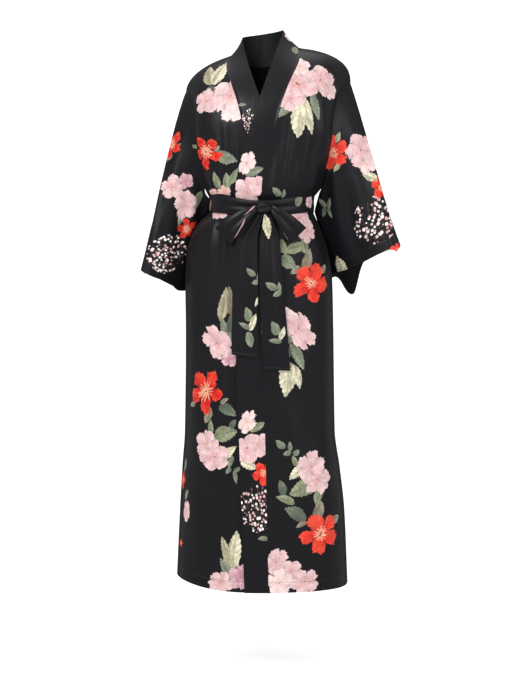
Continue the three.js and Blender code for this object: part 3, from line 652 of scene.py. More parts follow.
class Motif:
    """A flower, leaf or spray: a spot on the cloth, its half length and half width and its turn."""

    def __init__(self, kind, origin, out, long, wide, angle, tint, seed):
        self.kind = kind
        self.origin = origin
        self.out = out
        self.right = unit(np.cross([0.0, 0.0, 1.0], out) + np.array([1e-6, 0, 0]))
        self.up = np.cross(out, self.right)
        self.long, self.wide = long, wide
        self.angle = math.radians(angle)
        self.reach = max(long, wide)
        self.seed = seed
        self.tint = [*TINTS[tint], NARROW.get(tint, 0.0)]

    def flat(self, points):
        """Points laid flat about the spot, with their true distance from it kept."""
        away = points - self.origin
        x, y = away @ self.right, away @ self.up
        stretch = np.linalg.norm(away, axis=-1) / np.maximum(np.hypot(x, y), 1e-6)
        stretch = np.minimum(stretch, 2.5)
        return x * stretch, y * stretch

    def local(self, points):
        """Places in the motif: along it in half lengths, across it in half widths, and its seed."""
        x, y = self.flat(points)
        c, s = math.cos(self.angle), math.sin(self.angle)
        along = (x * c + y * s) / self.long
        across = (y * c - x * s) / self.wide
        return np.stack([along, across, np.full(x.shape, self.seed)], -1)

    def nearness(self, points, ways):
        """Distance from the motif's middle, 1 at its outline, or far on cloth that is turned away."""
        spot = self.local(points)
        near = np.hypot(spot[..., 0], spot[..., 1])
        turned = ways @ self.out < MOTIF_TURN
        return np.where(turned, FAR, near)


def arrange(motifs, count):
    """Shares motifs over layers so that those that overlap lie in different ones."""
    layers = [[] for _ in range(count)]
    for motif in motifs:
        def crowd(layer):
            return sum(
                max(0.0, (motif.reach + other.reach) * 0.9 - np.linalg.norm(motif.origin - other.origin))
                for other in layer
            )
        min(layers, key=crowd).append(motif)
    return layers


def photo_view(points):
    """Pixels of points in metres, from the front camera, and metres per pixel."""
    ahead = unit(LOOKS_AT - CAMERA_AT)
    up = unit(np.array([0.0, 0.0, 1.0]) - ahead * ahead[2])
    away = points - CAMERA_AT
    depth = away @ ahead
    return MIDDLE[0] + FOCAL * away[..., 0] / depth, MIDDLE[1] - FOCAL * (away @ up) / depth, depth / FOCAL


def rear_view(points):
    """The same for a level view from behind, without perspective."""
    x = MIDDLE[0] - points[..., 0] / REAR_SCALE
    y = REAR_TOP - points[..., 2] / REAR_SCALE
    return x, y, np.full(x.shape, REAR_SCALE)


def motifs_for(piece, rows, view, turn=0, at_point=(0, 0), first=0):
    """Turns rows of kind, x, y, half length, half width, angle and tint into motifs of the piece."""
    points = (piece.points + piece.outs * piece.thick).reshape(-1, 3)
    outs = piece.outs.reshape(-1, 3)
    xs, ys, scales = view(points)
    towards = np.array([0.0, 1.0, 0.0]) if view is rear_view else unit(CAMERA_AT - points)
    facing = np.sum(outs * towards, -1) > MIDDLE_TURN
    c, s = math.cos(math.radians(turn)), math.sin(math.radians(turn))
    for number, (kind, dx, dy, long, wide, angle, tint) in enumerate(rows):
        x = at_point[0] + dx * c + dy * s
        y = at_point[1] - dx * s + dy * c
        miss = np.hypot(xs - x, ys - y) + np.where(facing, 0, HIDDEN_MISS)
        k = int(np.argmin(miss))
        scale = scales[k]
        seed = (SEED_STEP * (first + number + 1) % 1) * SEED_RANGE
        motif = Motif(kind, points[k], outs[k], long * scale, wide * scale, angle + turn, tint, seed)
        motif.origin = points[k] + ((x - xs[k]) * motif.right - (y - ys[k]) * motif.up) * scale
        piece.motifs.append(motif)


# The print by piece: kind, x and y in pixels of the camera's frame, half length and half width in
# pixels, angle in degrees and tint. A motif lies only on its own piece, so seams cut it off
PRINT = {
    "front_left": [
        ("bloom", 297, 83, 24, 21, 100, "pink"),
        ("bloom", 300, 66, 12, 11, 20, "pale"),
        ("bloom", 291, 99, 13, 12, 60, "pink"),
        ("bloom", 321, 80, 19, 16, 40, "pink"),
        ("bloom", 331, 91, 10, 9, 10, "pale"),
        ("leaf", 312, 93, 10, 4.5, -60, "dark"),
        ("leaf", 285.5, 111, 9.5, 5, 225, "sage"),
        ("leaf", 300, 119, 21, 9.5, -95, "cream"),
        ("leaf", 309, 116, 19, 6.5, -78, "cream"),
        ("leaf", 317, 107, 14, 5, -80, "sage"),
        ("leaf", 276.5, 192, 6.5, 4, 130, "sage"),
        ("leaf", 284, 194, 5.5, 2.6, 90, "sage"),
        ("bloom", 299, 218, 15, 13, 20, "pink"),
        ("bloom", 307, 231, 13, 11, 60, "pink"),
        ("leaf", 297, 247, 12, 6, 20, "green"),
        ("leaf", 306, 247, 9, 5.5, -80, "green"),
        ("leaf", 283, 247, 9, 5.5, -60, "green"),
        ("leaf", 288.5, 263, 11, 7, -35, "sage"),
        ("leaf", 308, 259, 12, 6, 70, "taupe"),
        ("leaf", 296, 270, 6.5, 4, 215, "taupe"),
        ("leaf", 324, 268.5, 6, 3.5, 50, "taupe"),
        ("bloom", 312, 283, 21, 20, 15, "coral"),
        ("bloom", 299, 329, 23, 14, -50, "pink"),
        ("bloom", 286, 313, 7, 6, 0, "pale"),
        ("leaf", 290, 340, 8, 4.5, 15, "sage"),
        ("leaf", 285, 352, 8, 6, -40, "sage"),
        ("leaf", 298, 357, 15, 6, -65, "sage"),
        ("leaf", 287, 379, 19, 10, -95, "cream"),
        ("leaf", 297, 377, 13, 5, -75, "cream"),
        ("leaf", 281, 444, 6.5, 4, 140, "sage"),
        ("leaf", 290.5, 446, 5, 2.6, 95, "sage"),
        ("leaf", 287.6, 453, 4.7, 3, 200, "sage"),
        ("leaf", 297, 452.6, 4, 3.3, 40, "sage"),
        ("leaf", 294.8, 461, 6, 3.2, 110, "green"),
        ("bloom", 312, 467, 16, 15, 70, "pink"),
        ("bloom", 318, 480, 15.5, 14, 30, "pink"),
        ("leaf", 298, 472, 12, 5.5, 225, "cream"),
        ("leaf", 303, 490, 15, 9, 200, "green"),
        ("leaf", 319, 497, 9, 5, 250, "green"),
        ("leaf", 282, 488, 8.5, 5, 105, "dark"),
        ("leaf", 285.5, 500, 10.5, 4.5, 160, "green"),
        ("leaf", 295, 514, 13, 7, 150, "dark"),
        ("leaf", 301.7, 525, 6, 3, 210, "taupe"),
        ("leaf", 319, 510, 11, 6.5, 75, "taupe"),
        ("leaf", 336, 518, 6.5, 4.5, 20, "taupe"),
        ("bloom", 321.5, 533, 23, 20, 35, "coral"),
        ("bloom", 277, 562, 14, 12, 50, "pink"),
        ("bloom", 292, 571, 12, 11, 0, "pink"),
        ("bloom", 305, 582, 15, 13, 20, "pink"),
        ("bloom", 280, 583, 14, 13, 80, "pale"),
    ],
    "front_right": [
        ("leaf", 211, 75, 15, 7.5, 118, "tan"),
        ("leaf", 221, 72, 17, 8, 78, "cream"),
        ("leaf", 212, 92, 9, 5, -60, "dark"),
        ("bloom", 207, 101, 15, 13, -20, "pink"),
        ("bloom", 231, 95, 20, 18, 60, "pink"),
        ("bloom", 233, 111, 13, 11, 10, "pale"),
        ("bloom", 206, 152, 19, 17, 0, "red"),
        ("leaf", 217, 149, 5, 2.6, 50, "taupe"),
        ("leaf", 227, 157, 12, 7, -20, "sage"),
        ("leaf", 216, 180, 9, 5, 100, "green"),
        ("leaf", 226, 181, 9, 5, 80, "green"),
        ("leaf", 234, 176, 9, 4.6, 60, "green"),
        ("bloom", 216, 195, 9, 8, 0, "peach"),
        ("bloom", 225, 192, 8, 7, 30, "peach"),
        ("bloom", 221, 212, 11, 9, 0, "pink"),
        ("leaf", 224, 303, 18, 6.5, 80, "tan"),
        ("leaf", 231, 301, 16, 5, 95, "taupe"),
        ("leaf", 226, 329, 13, 5, 110, "sage"),
        ("leaf", 231, 322, 11, 4, 80, "dark"),
        ("bloom", 218, 343, 20, 13, -50, "pink"),
        ("bloom", 231, 359, 9, 8, 0, "mauve"),
        ("bloom", 206, 391, 23, 19, 80, "red"),
        ("leaf", 228, 411, 10.5, 6, -30, "dark"),
        ("leaf", 208, 416, 9, 4.5, -110, "taupe"),
        ("leaf", 225, 401, 5, 2.5, 35, "taupe"),
        ("leaf", 193, 404, 5, 3, 200, "taupe"),
        ("leaf", 226, 435, 13, 9, 15, "green"),
        ("leaf", 211.5, 426.5, 7, 3.4, 95, "green"),
        ("leaf", 234, 424, 5.5, 3.5, 60, "dark"),
        ("bloom", 208, 445, 15, 13, 110, "pink"),
        ("bloom", 215, 457, 16, 14, 20, "pink"),
        ("leaf", 229, 453, 11, 5, 40, "cream"),
        ("leaf", 231, 462, 7, 3, -110, "sage"),
        ("leaf", 229, 471, 4, 2.6, -130, "sage"),
        ("leaf", 236, 477, 7, 2.6, -80, "sage"),
        ("leaf", 238, 469, 4.5, 2.5, 30, "sage"),
        ("leaf", 235, 549, 20, 7.5, 85, "cream"),
        ("leaf", 226, 552, 17, 5, 105, "tan"),
        ("leaf", 226, 570, 14, 5.5, 115, "sage"),
        ("bloom", 221, 583, 13, 12, 0, "pink"),
        ("bloom", 241, 577, 14, 12, 45, "mauve"),
        ("leaf", 186, 464, 7, 3, 80, "sage"),
        ("bloom", 184, 480, 10, 7, 80, "red"),
        ("leaf", 187, 495, 6, 3, 250, "green"),
        ("bloom", 187, 511, 11, 6, 90, "pink"),
        ("bloom", 181, 543, 5, 4, 0, "red"),
    ],
    "neckband_left": [
        ("leaf", 296, 50, 7, 4, 60, "sage"),
        ("bloom", 291, 38, 7, 6, 0, "pink"),
        ("bloom", 247.5, 163, 12, 8, 65, "pale"),
        ("leaf", 255, 171, 10, 5, 20, "sage"),
        ("bloom", 248, 191, 15, 14, 60, "pink"),
        ("bloom", 258, 184, 9, 8, 0, "pink"),
        ("bloom", 247.5, 422, 12.5, 8.5, 70, "pale"),
        ("leaf", 258, 426.5, 9, 4.5, 30, "green"),
        ("bloom", 248, 449, 15, 14, 60, "pink"),
        ("bloom", 260, 445, 12, 12, 0, "pink"),
        ("leaf", 250, 464.5, 10, 5, -25, "cream"),
        ("bloom", 265, 473, 13, 12, 30, "coral"),
        ("spray", 257, 508, 24, 19, 90, "white"),
        ("leaf", 263.5, 539, 5.5, 3, 180, "sage"),
    ],
    "neckband_right": [
        ("leaf", 242.5, 105, 4.4, 2.2, 10, "sage"),
        ("spray", 249, 123, 14, 9, 90, "white"),
    ],
    "sleeve_right": [
        ("bloom", 172, 144, 15, 13, 90, "red"),
        ("leaf", 170, 157, 5, 3, 240, "taupe"),
        ("bloom", 173, 187, 13, 12, 30, "pink"),
        ("bloom", 186, 181, 8, 8, 0, "mauve"),
        ("bloom", 186, 205, 15, 11, 80, "pink"),
        ("leaf", 181.5, 218, 9, 4, 250, "green"),
        ("leaf", 197, 203, 13, 5, 250, "green"),
        ("bloom", 187, 229, 11, 10, 60, "red"),
        ("spray", 169, 254, 22, 19, 20, "white"),
        ("bloom", 189, 270, 9, 6, 90, "pink"),
    ],
    "sleeve_left": [
        ("bloom", 334, 153, 17, 15, 80, "coral"),
        ("leaf", 338.5, 137, 6, 3, 70, "tan"),
        ("leaf", 337, 167, 6, 3, 240, "tan"),
        ("bloom", 361, 150, 18, 15, 70, "pink"),
        ("bloom", 367, 163, 12, 11, 20, "pale"),
        ("leaf", 371, 177, 10, 5.5, 160, "cream"),
        ("bloom", 382, 188, 13, 12, 100, "coral"),
        ("spray", 376, 220, 25, 22, 60, "white"),
        ("bloom", 398, 250, 8, 7, 0, "coral"),
        ("leaf", 389, 250.5, 4.5, 2, 20, "sage"),
        ("leaf", 322.5, 203, 6, 2.8, 130, "sage"),
        ("leaf", 329.5, 203, 6, 3, 70, "sage"),
        ("leaf", 325, 212, 6, 2.8, 250, "dark"),
        ("leaf", 331, 213, 6, 2.8, 290, "sage"),
        ("leaf", 341, 266, 11, 9, 100, "cream"),
    ],
    "belt_waist": [
        ("leaf", 300, 201, 6.5, 4.5, 60, "sage"),
        ("bloom", 310, 202, 7, 6, 0, "pink"),
        ("leaf", 211, 205, 6.5, 3.6, 60, "taupe"),
    ],
    "belt_loop_right": [
        ("leaf", 240.5, 229, 12, 0.7, -118, "mauve"),
        ("leaf", 250, 211, 8, 0.8, -140, "mauve"),
    ],
    "belt_loop_left": [
        ("leaf", 280, 228, 15, 0.7, -56, "peach"),
        ("bloom", 243, 236, 6, 6, 0, "red"),
    ],
    "belt_tail_right": [
        ("leaf", 251.5, 272, 6, 3.4, 140, "sage"),
        ("leaf", 259.5, 276, 6, 2.3, 85, "sage"),
        ("leaf", 256, 282, 4.5, 3, 200, "sage"),
        ("leaf", 257.5, 302, 5.5, 2, 250, "cream"),
        ("leaf", 248, 314, 8, 4.6, 100, "sage"),
        ("leaf", 253.5, 322, 9.5, 3.6, 70, "cream"),
        ("leaf", 244.5, 326, 6.5, 3, 150, "sage"),
        ("leaf", 250.5, 340, 8.5, 4.6, 280, "sage"),
    ],
    "belt_tail_left": [
        ("leaf", 266, 226, 14, 5, -75, "cream"),
        ("leaf", 271.5, 286, 7, 4, 150, "sage"),
        ("leaf", 280, 287, 5.5, 2.4, 95, "sage"),
        ("leaf", 277.5, 294, 5, 3.4, 210, "sage"),
        ("leaf", 275, 328, 8, 5, 110, "sage"),
        ("leaf", 275.5, 341, 7, 3, 175, "sage"),
        ("leaf", 282.5, 333, 7, 3.4, 70, "cream"),
        ("leaf", 261.5, 340, 24, 1.2, -88, "mauve"),
    ],
}

# Groups for the sides that the photograph doesn't show, about their own middles
RED_GROUP = [
    ("bloom", 0, 0, 22, 20, 20, "red"),
    ("leaf", 23, 20, 10.5, 6, -30, "dark"),
    ("leaf", 2, 25, 8.5, 4.5, -110, "taupe"),
    ("leaf", 20, 9, 5, 2.5, 35, "taupe"),
    ("leaf", -17, 15, 6, 3, 200, "taupe"),
    ("leaf", 21, 44, 13, 9, 15, "green"),
    ("bloom", 3, 54, 15, 13, 110, "pink"),
    ("bloom", 10, 66, 16, 14, 20, "pink"),
    ("leaf", 24, 62, 11, 5, 40, "cream"),
    ("leaf", 26, 72, 7, 3, -110, "sage"),
    ("leaf", 31, 86, 7, 2.6, -80, "sage"),
    ("leaf", 23, 81, 4, 2.6, -130, "sage"),
]
PINK_GROUP = [
    ("bloom", -12, 0, 23, 20, 100, "pink"),
    ("bloom", -9, -16, 12, 11, 20, "pale"),
    ("bloom", -18, 15, 13, 12, 60, "pink"),
    ("bloom", 12, -2, 19, 16, 40, "pink"),
    ("bloom", 22, 9, 10, 9, 10, "pale"),
    ("leaf", -24, 28, 9.5, 5, 225, "sage"),
    ("leaf", -9, 36, 21, 9.5, -95, "cream"),
    ("leaf", 0, 33, 19, 6.5, -78, "cream"),
    ("leaf", 8, 24, 14, 5, -80, "sage"),
]
SPRAY_GROUP = [
    ("spray", 0, 0, 25, 22, 40, "white"),
    ("leaf", -30, 12, 6, 3.4, 140, "sage"),
    ("leaf", -22, 18, 6, 2.6, 85, "sage"),
    ("leaf", -27, 24, 5, 3, 200, "sage"),
]
SMALL_GROUP = [
    ("bloom", 0, 0, 12, 11, 20, "pink"),
    ("bloom", 3, 15, 11, 10, 60, "red"),
    ("leaf", -9, 12, 8, 4, 220, "green"),
    ("leaf", 9, -10, 7, 3.4, 60, "sage"),
]
# Which group lies where in the view from behind, and its turn in degrees
REAR_PRINT = {
    "back_panel": [
        (PINK_GROUP, 225, 105, 0), (RED_GROUP, 300, 120, 0), (SPRAY_GROUP, 236, 190, 30),
        (PINK_GROUP, 300, 260, 180), (RED_GROUP, 215, 262, 0), (SPRAY_GROUP, 290, 350, 120),
        (PINK_GROUP, 226, 405, 180), (RED_GROUP, 312, 470, 180), (PINK_GROUP, 268, 500, 0),
        (RED_GROUP, 205, 500, 0), (SPRAY_GROUP, 315, 560, 200),
    ],
    "sleeve_left": [(SMALL_GROUP, 160, 150, 0), (SMALL_GROUP, 156, 215, 160)],
    "sleeve_right": [(SMALL_GROUP, 352, 152, 180), (SMALL_GROUP, 360, 215, 20)],
}


def add_print(piece):
    """Gives a piece its motifs of the front view and then its groups of the rear view."""
    motifs_for(piece, PRINT.get(piece.name, []), photo_view)
    for k, (rows, x, y, turn) in enumerate(REAR_PRINT.get(piece.name, [])):
        motifs_for(piece, rows, rear_view, turn, (x, y), 50 + 13 * k)


# Node graphs
class Graph:
    """Short ways to add nodes to a node tree and to link them."""

    def __init__(self, tree):
        self.tree = tree

    def add(self, kind, inputs=(), output=0, **settings):
        node = self.tree.nodes.new(kind)
        for key, value in settings.items():
            setattr(node, key, value)
        for key, value in dict(inputs).items():
            if isinstance(value, bpy.types.NodeSocket):
                self.tree.links.new(value, node.inputs[key])
            else:
                node.inputs[key].default_value = value
        return node.outputs[output]

    def math(self, operation, a, b=0.0, c=0.0):
        return self.add("ShaderNodeMath", {0: a, 1: b, 2: c}, operation=operation)

    def plus(self, a, b):
        return self.math("ADD", a, b)

    def minus(self, a, b):
        return self.math("SUBTRACT", a, b)

    def times(self, a, b):
        return self.math("MULTIPLY", a, b)

    def ramp(self, value, low, high, start=0.0, end=1.0):
        """start where value is low or less, end where it is high or more, in a soft step between."""
        return self.add(
            "ShaderNodeMapRange",
            {"Value": value, "From Min": low, "From Max": high, "To Min": start, "To Max": end},
            interpolation_type="SMOOTHSTEP",
        )

    def split(self, vector):
        node = self.tree.nodes.new("ShaderNodeSeparateXYZ")
        self.tree.links.new(vector, node.inputs[0])
        return node.outputs

    def noise(self, vector, scale, detail=2.0, output="Fac"):
        return self.add("ShaderNodeTexNoise", {"Vector": vector, "Scale": scale, "Detail": detail}, output)

    def blend(self, share, a, b, mode="MIX"):
        node = self.tree.nodes.new("ShaderNodeMix")
        node.data_type = "RGBA"
        node.blend_type = mode
        for socket, value in ((node.inputs[0], share), (node.inputs[6], a), (node.inputs[7], b)):
            if isinstance(value, bpy.types.NodeSocket):
                self.tree.links.new(value, socket)
            else:
                socket.default_value = value
        return node.outputs[2]

    def level(self, colour, value):
        """The colour times a value."""
        node = self.tree.nodes.new("ShaderNodeVectorMath")
        node.operation = "SCALE"
        self.tree.links.new(colour, node.inputs[0])
        self.tree.links.new(value, node.inputs["Scale"])
        return node.outputs[0]

    def moved(self, spot, scale, amount):
        """The spot shifted unevenly by a soft noise."""
        shift = self.add(
            "ShaderNodeVectorMath",
            {0: self.noise(spot, scale, 2.0, "Color"), 1: (0.5, 0.5, 0.5)},
            operation="SUBTRACT",
        )
        scaled = self.add("ShaderNodeVectorMath", {0: shift, "Scale": amount}, operation="SCALE")
        return self.add("ShaderNodeVectorMath", {0: spot, 1: scaled}, operation="ADD")


def new_group(name, inputs, outputs):
    """A shader node group with its sockets, and its graph, input node and output node."""
    tree = bpy.data.node_groups.new(name, "ShaderNodeTree")
    for label, kind in inputs:
        tree.interface.new_socket(label, in_out="INPUT", socket_type=kind)
    for label, kind in outputs:
        tree.interface.new_socket(label, in_out="OUTPUT", socket_type=kind)
    source = tree.nodes.new("NodeGroupInput")
    target = tree.nodes.new("NodeGroupOutput")
    return tree, Graph(tree), source.outputs, target.inputs


MOTIF_IN = [("Spot", "NodeSocketVector"), ("Tint", "NodeSocketColor"), ("Narrow", "NodeSocketFloat")]
MOTIF_OUT = [("Colour", "NodeSocketColor"), ("Mask", "NodeSocketFloat")]


def bloom_group():
    """Five petals round a middle, with a second, smaller ring of petals between them.

    Outline: 1 - depth a^power + noise, where a runs from 0 in the middle of a petal to 1 in the gap.
    Narrow petals have a deeper gap and a lower power, no second ring, and longer stamens.
    """
    tree, g, source, target = new_group("Robe bloom", MOTIF_IN, MOTIF_OUT)
    spot = g.moved(source["Spot"], 2.3, 0.42)
    x, y, seed = g.split(spot)
    radius = g.math("SQRT", g.plus(g.times(x, x), g.times(y, y)))
    angle = g.math("ARCTAN2", y, x)
    turn = g.plus(g.times(angle, 5 / (2 * math.pi)), g.times(g.split(source["Spot"])[2], 0.37))
    across = g.minus(g.math("FRACT", turn), 0.5)
    gap = g.times(g.math("ABSOLUTE", across), 2.0)
    fine = g.minus(g.noise(source["Spot"], 7.0, 2.0), 0.5)
    depth = g.plus(0.27, g.times(source["Narrow"], 0.4))
    power = g.minus(3.4, g.times(source["Narrow"], 1.3))
    outline = g.minus(1.0, g.times(depth, g.math("POWER", gap, power)))
    outline = g.plus(outline, g.times(fine, 0.34))
    inner_gap = g.times(g.math("ABSOLUTE", g.minus(g.math("FRACT", g.plus(turn, 0.5)), 0.5)), 2.0)
    inner = g.minus(0.66, g.times(0.26, g.math("POWER", inner_gap, 2.5)))
    inner = g.plus(inner, g.times(fine, 0.3))
    inner = g.minus(inner, g.times(source["Narrow"], 0.9))
    mask = g.ramp(g.minus(outline, radius), -0.02, 0.025)

    deep = g.add("ShaderNodeGamma", {"Color": source["Tint"], "Gamma": 1.6})
    light = g.blend(g.ramp(source["Narrow"], 0.1, 0.5), (0.86, 0.70, 0.69, 1.0), (0.90, 0.14, 0.07, 1.0))
    pale = g.blend(0.45, source["Tint"], light)
    blot = g.noise(spot, 2.6, 3.0)
    colour = g.blend(g.ramp(blot, 0.35, 0.68), source["Tint"], pale)
    colour = g.blend(g.ramp(radius, 0.1, 0.6, 0.6, 0.0), colour, deep)
    rim = g.ramp(g.minus(outline, radius), 0.0, 0.13, 0.5, 0.0)
    colour = g.blend(rim, colour, pale)

    crease = g.times(g.ramp(gap, 0.72, 1.0), g.ramp(radius, 0.2, 0.6))
    under = g.ramp(g.minus(radius, inner), 0.0, 0.14, 1.0, 0.0)
    under = g.times(under, g.ramp(g.minus(radius, inner), -0.015, 0.01))
    veins = g.math("SINE", g.plus(g.times(angle, 38.0), g.times(g.noise(spot, 3.0), 9.0)))
    shade = g.minus(1.02, g.times(crease, g.plus(0.17, g.times(source["Narrow"], 0.5))))
    shade = g.minus(shade, g.times(under, 0.15))
    shade = g.minus(shade, g.times(g.plus(across, 0.5), g.plus(0.16, g.times(source["Narrow"], 0.2))))
    shade = g.plus(shade, g.times(veins, g.plus(0.03, g.times(source["Narrow"], 0.13))))
    shade = g.plus(shade, g.times(fine, 0.42))
    shade = g.plus(shade, g.times(g.minus(g.noise(spot, 1.4, 1.0), 0.5), 0.35))
    colour = g.level(colour, shade)

    grain = g.add("ShaderNodeTexVoronoi", {"Vector": source["Spot"], "Scale": 13.0}, "Distance")
    rays = g.math("SINE", g.plus(g.times(angle, 13.0), g.times(seed, 3.0)))
    reach = g.plus(0.12, g.times(source["Narrow"], 0.3))
    reach = g.plus(reach, g.times(rays, g.plus(0.03, g.times(source["Narrow"], 0.12))))
    stamens = g.times(g.ramp(g.minus(reach, radius), 0.0, 0.05), g.ramp(grain, 0.2, 0.5, 1.0, 0.35))
    gold = g.blend(g.ramp(grain, 0.1, 0.5), (0.86, 0.50, 0.24, 1.0), (0.93, 0.70, 0.47, 1.0))
    colour = g.blend(stamens, colour, gold)
    eye = g.ramp(radius, 0.05, 0.085, 0.85, 0.0)
    colour = g.blend(eye, colour, (0.16, 0.035, 0.03, 1.0))
    tree.links.new(colour, target["Colour"])
    tree.links.new(mask, target["Mask"])
    return tree


def leaf_group():
    """A pointed leaf along its own x, with a midrib, side veins and two tones.

    Half width: 2.75 t^0.6 (1 - t)^0.9, t from 0 at the stalk to 1 at the tip, less small teeth.
    """
    tree, g, source, target = new_group("Robe leaf", MOTIF_IN, MOTIF_OUT)
    spot = g.moved(source["Spot"], 1.6, 0.34)
    x, y, seed = g.split(spot)
    t = g.math("MULTIPLY_ADD", x, 0.5, 0.5)
    t = g.add("ShaderNodeClamp", {"Value": t, "Min": 0.0, "Max": 1.0})
    half = g.times(2.75, g.times(g.math("POWER", t, 0.6), g.math("POWER", g.minus(1.0, t), 0.9)))
    bend = g.times(g.math("SINE", g.times(seed, 2.0)), g.times(g.math("SINE", g.times(t, math.pi)), 0.2))
    side = g.plus(y, bend)
    off = g.math("ABSOLUTE", side)
    tooth = g.math("ABSOLUTE", g.minus(g.math("FRACT", g.minus(g.times(t, 7.0), g.times(off, 0.8))), 0.5))
    room = g.minus(g.minus(half, g.times(tooth, 0.24)), off)
    mask = g.ramp(room, 0.0, 0.07)
    rib = g.ramp(off, 0.03, 0.13, 1.0, 0.0)
    lines = g.math("FRACT", g.minus(g.times(t, 6.5), g.times(off, 1.15)))
    lines = g.ramp(g.math("ABSOLUTE", g.minus(lines, 0.5)), 0.0, 0.19, 1.0, 0.0)
    blot = g.noise(spot, 1.9, 3.0)
    deep = g.blend(0.6, source["Tint"], (0.085, 0.10, 0.075, 1.0))
    pale = g.blend(0.35, source["Tint"], (0.72, 0.70, 0.54, 1.0))
    colour = g.blend(g.ramp(blot, 0.30, 0.62, 0.15, 1.0), deep, source["Tint"])
    colour = g.blend(g.times(g.ramp(t, 0.3, 1.0), 0.5), colour, pale)
    shade = g.minus(1.06, g.times(g.ramp(side, -0.02, 0.02), 0.22))
    shade = g.plus(shade, g.times(g.minus(blot, 0.5), 0.8))
    colour = g.level(colour, shade)
    colour = g.blend(g.times(lines, 0.62), colour, deep)
    colour = g.blend(g.times(rib, 0.75), colour, deep)
    colour = g.blend(g.ramp(room, 0.0, 0.12, 0.55, 0.0), colour, deep)
    tree.links.new(colour, target["Colour"])
    tree.links.new(mask, target["Mask"])
    return tree


def spray_group():
    """A spray of tiny blossoms: round dots of random size in a loose cluster, over thin twigs.

    A dot shows where the noise of its cell outweighs its distance from the middle. The twigs are rays
    from beside the middle, bent by noise.
    """
    tree, g, source, target = new_group("Robe spray", MOTIF_IN, MOTIF_OUT)
    x, y, _ = g.split(source["Spot"])
    radius = g.math("SQRT", g.plus(g.times(x, x), g.times(y, y)))
    cells = tree.nodes.new("ShaderNodeTexVoronoi")
    cells.inputs["Scale"].default_value = 6.2
    tree.links.new(source["Spot"], cells.inputs["Vector"])
    hue, bright, size = g.split(cells.outputs["Color"])
    cx, cy, _ = g.split(cells.outputs["Position"])
    reach = g.math("SQRT", g.plus(g.times(cx, cx), g.times(cy, cy)))
    clump = g.noise(cells.outputs["Position"], 1.7, 2.0)
    present = g.ramp(g.minus(g.times(clump, 1.9), g.times(reach, 0.6)), 0.3, 0.34)
    wide = g.plus(0.34, g.times(size, 0.22))
    dot = g.ramp(g.minus(wide, cells.outputs["Distance"]), 0.0, 0.06)
    dot = g.times(g.times(dot, present), g.ramp(radius, 1.0, 1.05, 1.0, 0.0))
    white = g.blend(g.ramp(hue, 0.45, 0.75), source["Tint"], (0.70, 0.38, 0.40, 1.0))
    white = g.level(white, g.plus(0.74, g.times(bright, 0.4)))
    heart = g.ramp(cells.outputs["Distance"], 0.04, 0.1, 0.6, 0.0)
    white = g.blend(heart, white, (0.30, 0.10, 0.09, 1.0))
    angle = g.math("ARCTAN2", y, g.plus(x, 0.5))
    swirl = g.times(g.noise(source["Spot"], 3.2, 2.0), 1.5)
    lines = g.math("FRACT", g.plus(g.times(angle, 4.2), swirl))
    lines = g.ramp(g.math("ABSOLUTE", g.minus(lines, 0.5)), 0.0, 0.07, 1.0, 0.0)
    lines = g.times(lines, g.ramp(g.noise(source["Spot"], 4.5, 1.0), 0.44, 0.52))
    lines = g.times(lines, g.ramp(radius, 0.75, 0.95, 0.8, 0.0))
    twig = (0.26, 0.20, 0.15, 1.0)
    tree.links.new(g.blend(dot, twig, white), target["Colour"])
    tree.links.new(g.math("MAXIMUM", dot, lines), target["Mask"])
    return tree


# How many layers of each kind a piece has, from the lowest up, and the group that draws the kind
LAYERS = {"leaf": 3, "bloom": 3, "spray": 1}
MOTIF_GROUPS = {"leaf": leaf_group, "bloom": bloom_group, "spray": spray_group}


def print_group():
    """All the layers of the print, laid over each other on the ground colour."""
    groups = {kind: make() for kind, make in MOTIF_GROUPS.items()}
    tree, g, source, target = new_group(
        "Robe print",
        [("Ground", "NodeSocketColor")],
        [("Colour", "NodeSocketColor"), ("Printed", "NodeSocketFloat")],
    )
    colour = source["Ground"]
    printed = 0.0
    for kind, count in LAYERS.items():
        for k in range(count):
            spot = g.add("ShaderNodeAttribute", output="Vector", attribute_name=f"{kind}_{k + 1}_spot")
            tint = tree.nodes.new("ShaderNodeAttribute")
            tint.attribute_name = f"{kind}_{k + 1}_tint"
            node = tree.nodes.new("ShaderNodeGroup")
            node.node_tree = groups[kind]
            tree.links.new(spot, node.inputs["Spot"])
            tree.links.new(tint.outputs["Color"], node.inputs["Tint"])
            tree.links.new(tint.outputs["Alpha"], node.inputs["Narrow"])
            colour = g.blend(node.outputs["Mask"], colour, node.outputs["Colour"])
            printed = g.math("MAXIMUM", printed, node.outputs["Mask"])
    tree.links.new(colour, target["Colour"])
    tree.links.new(printed, target["Printed"])
    return tree


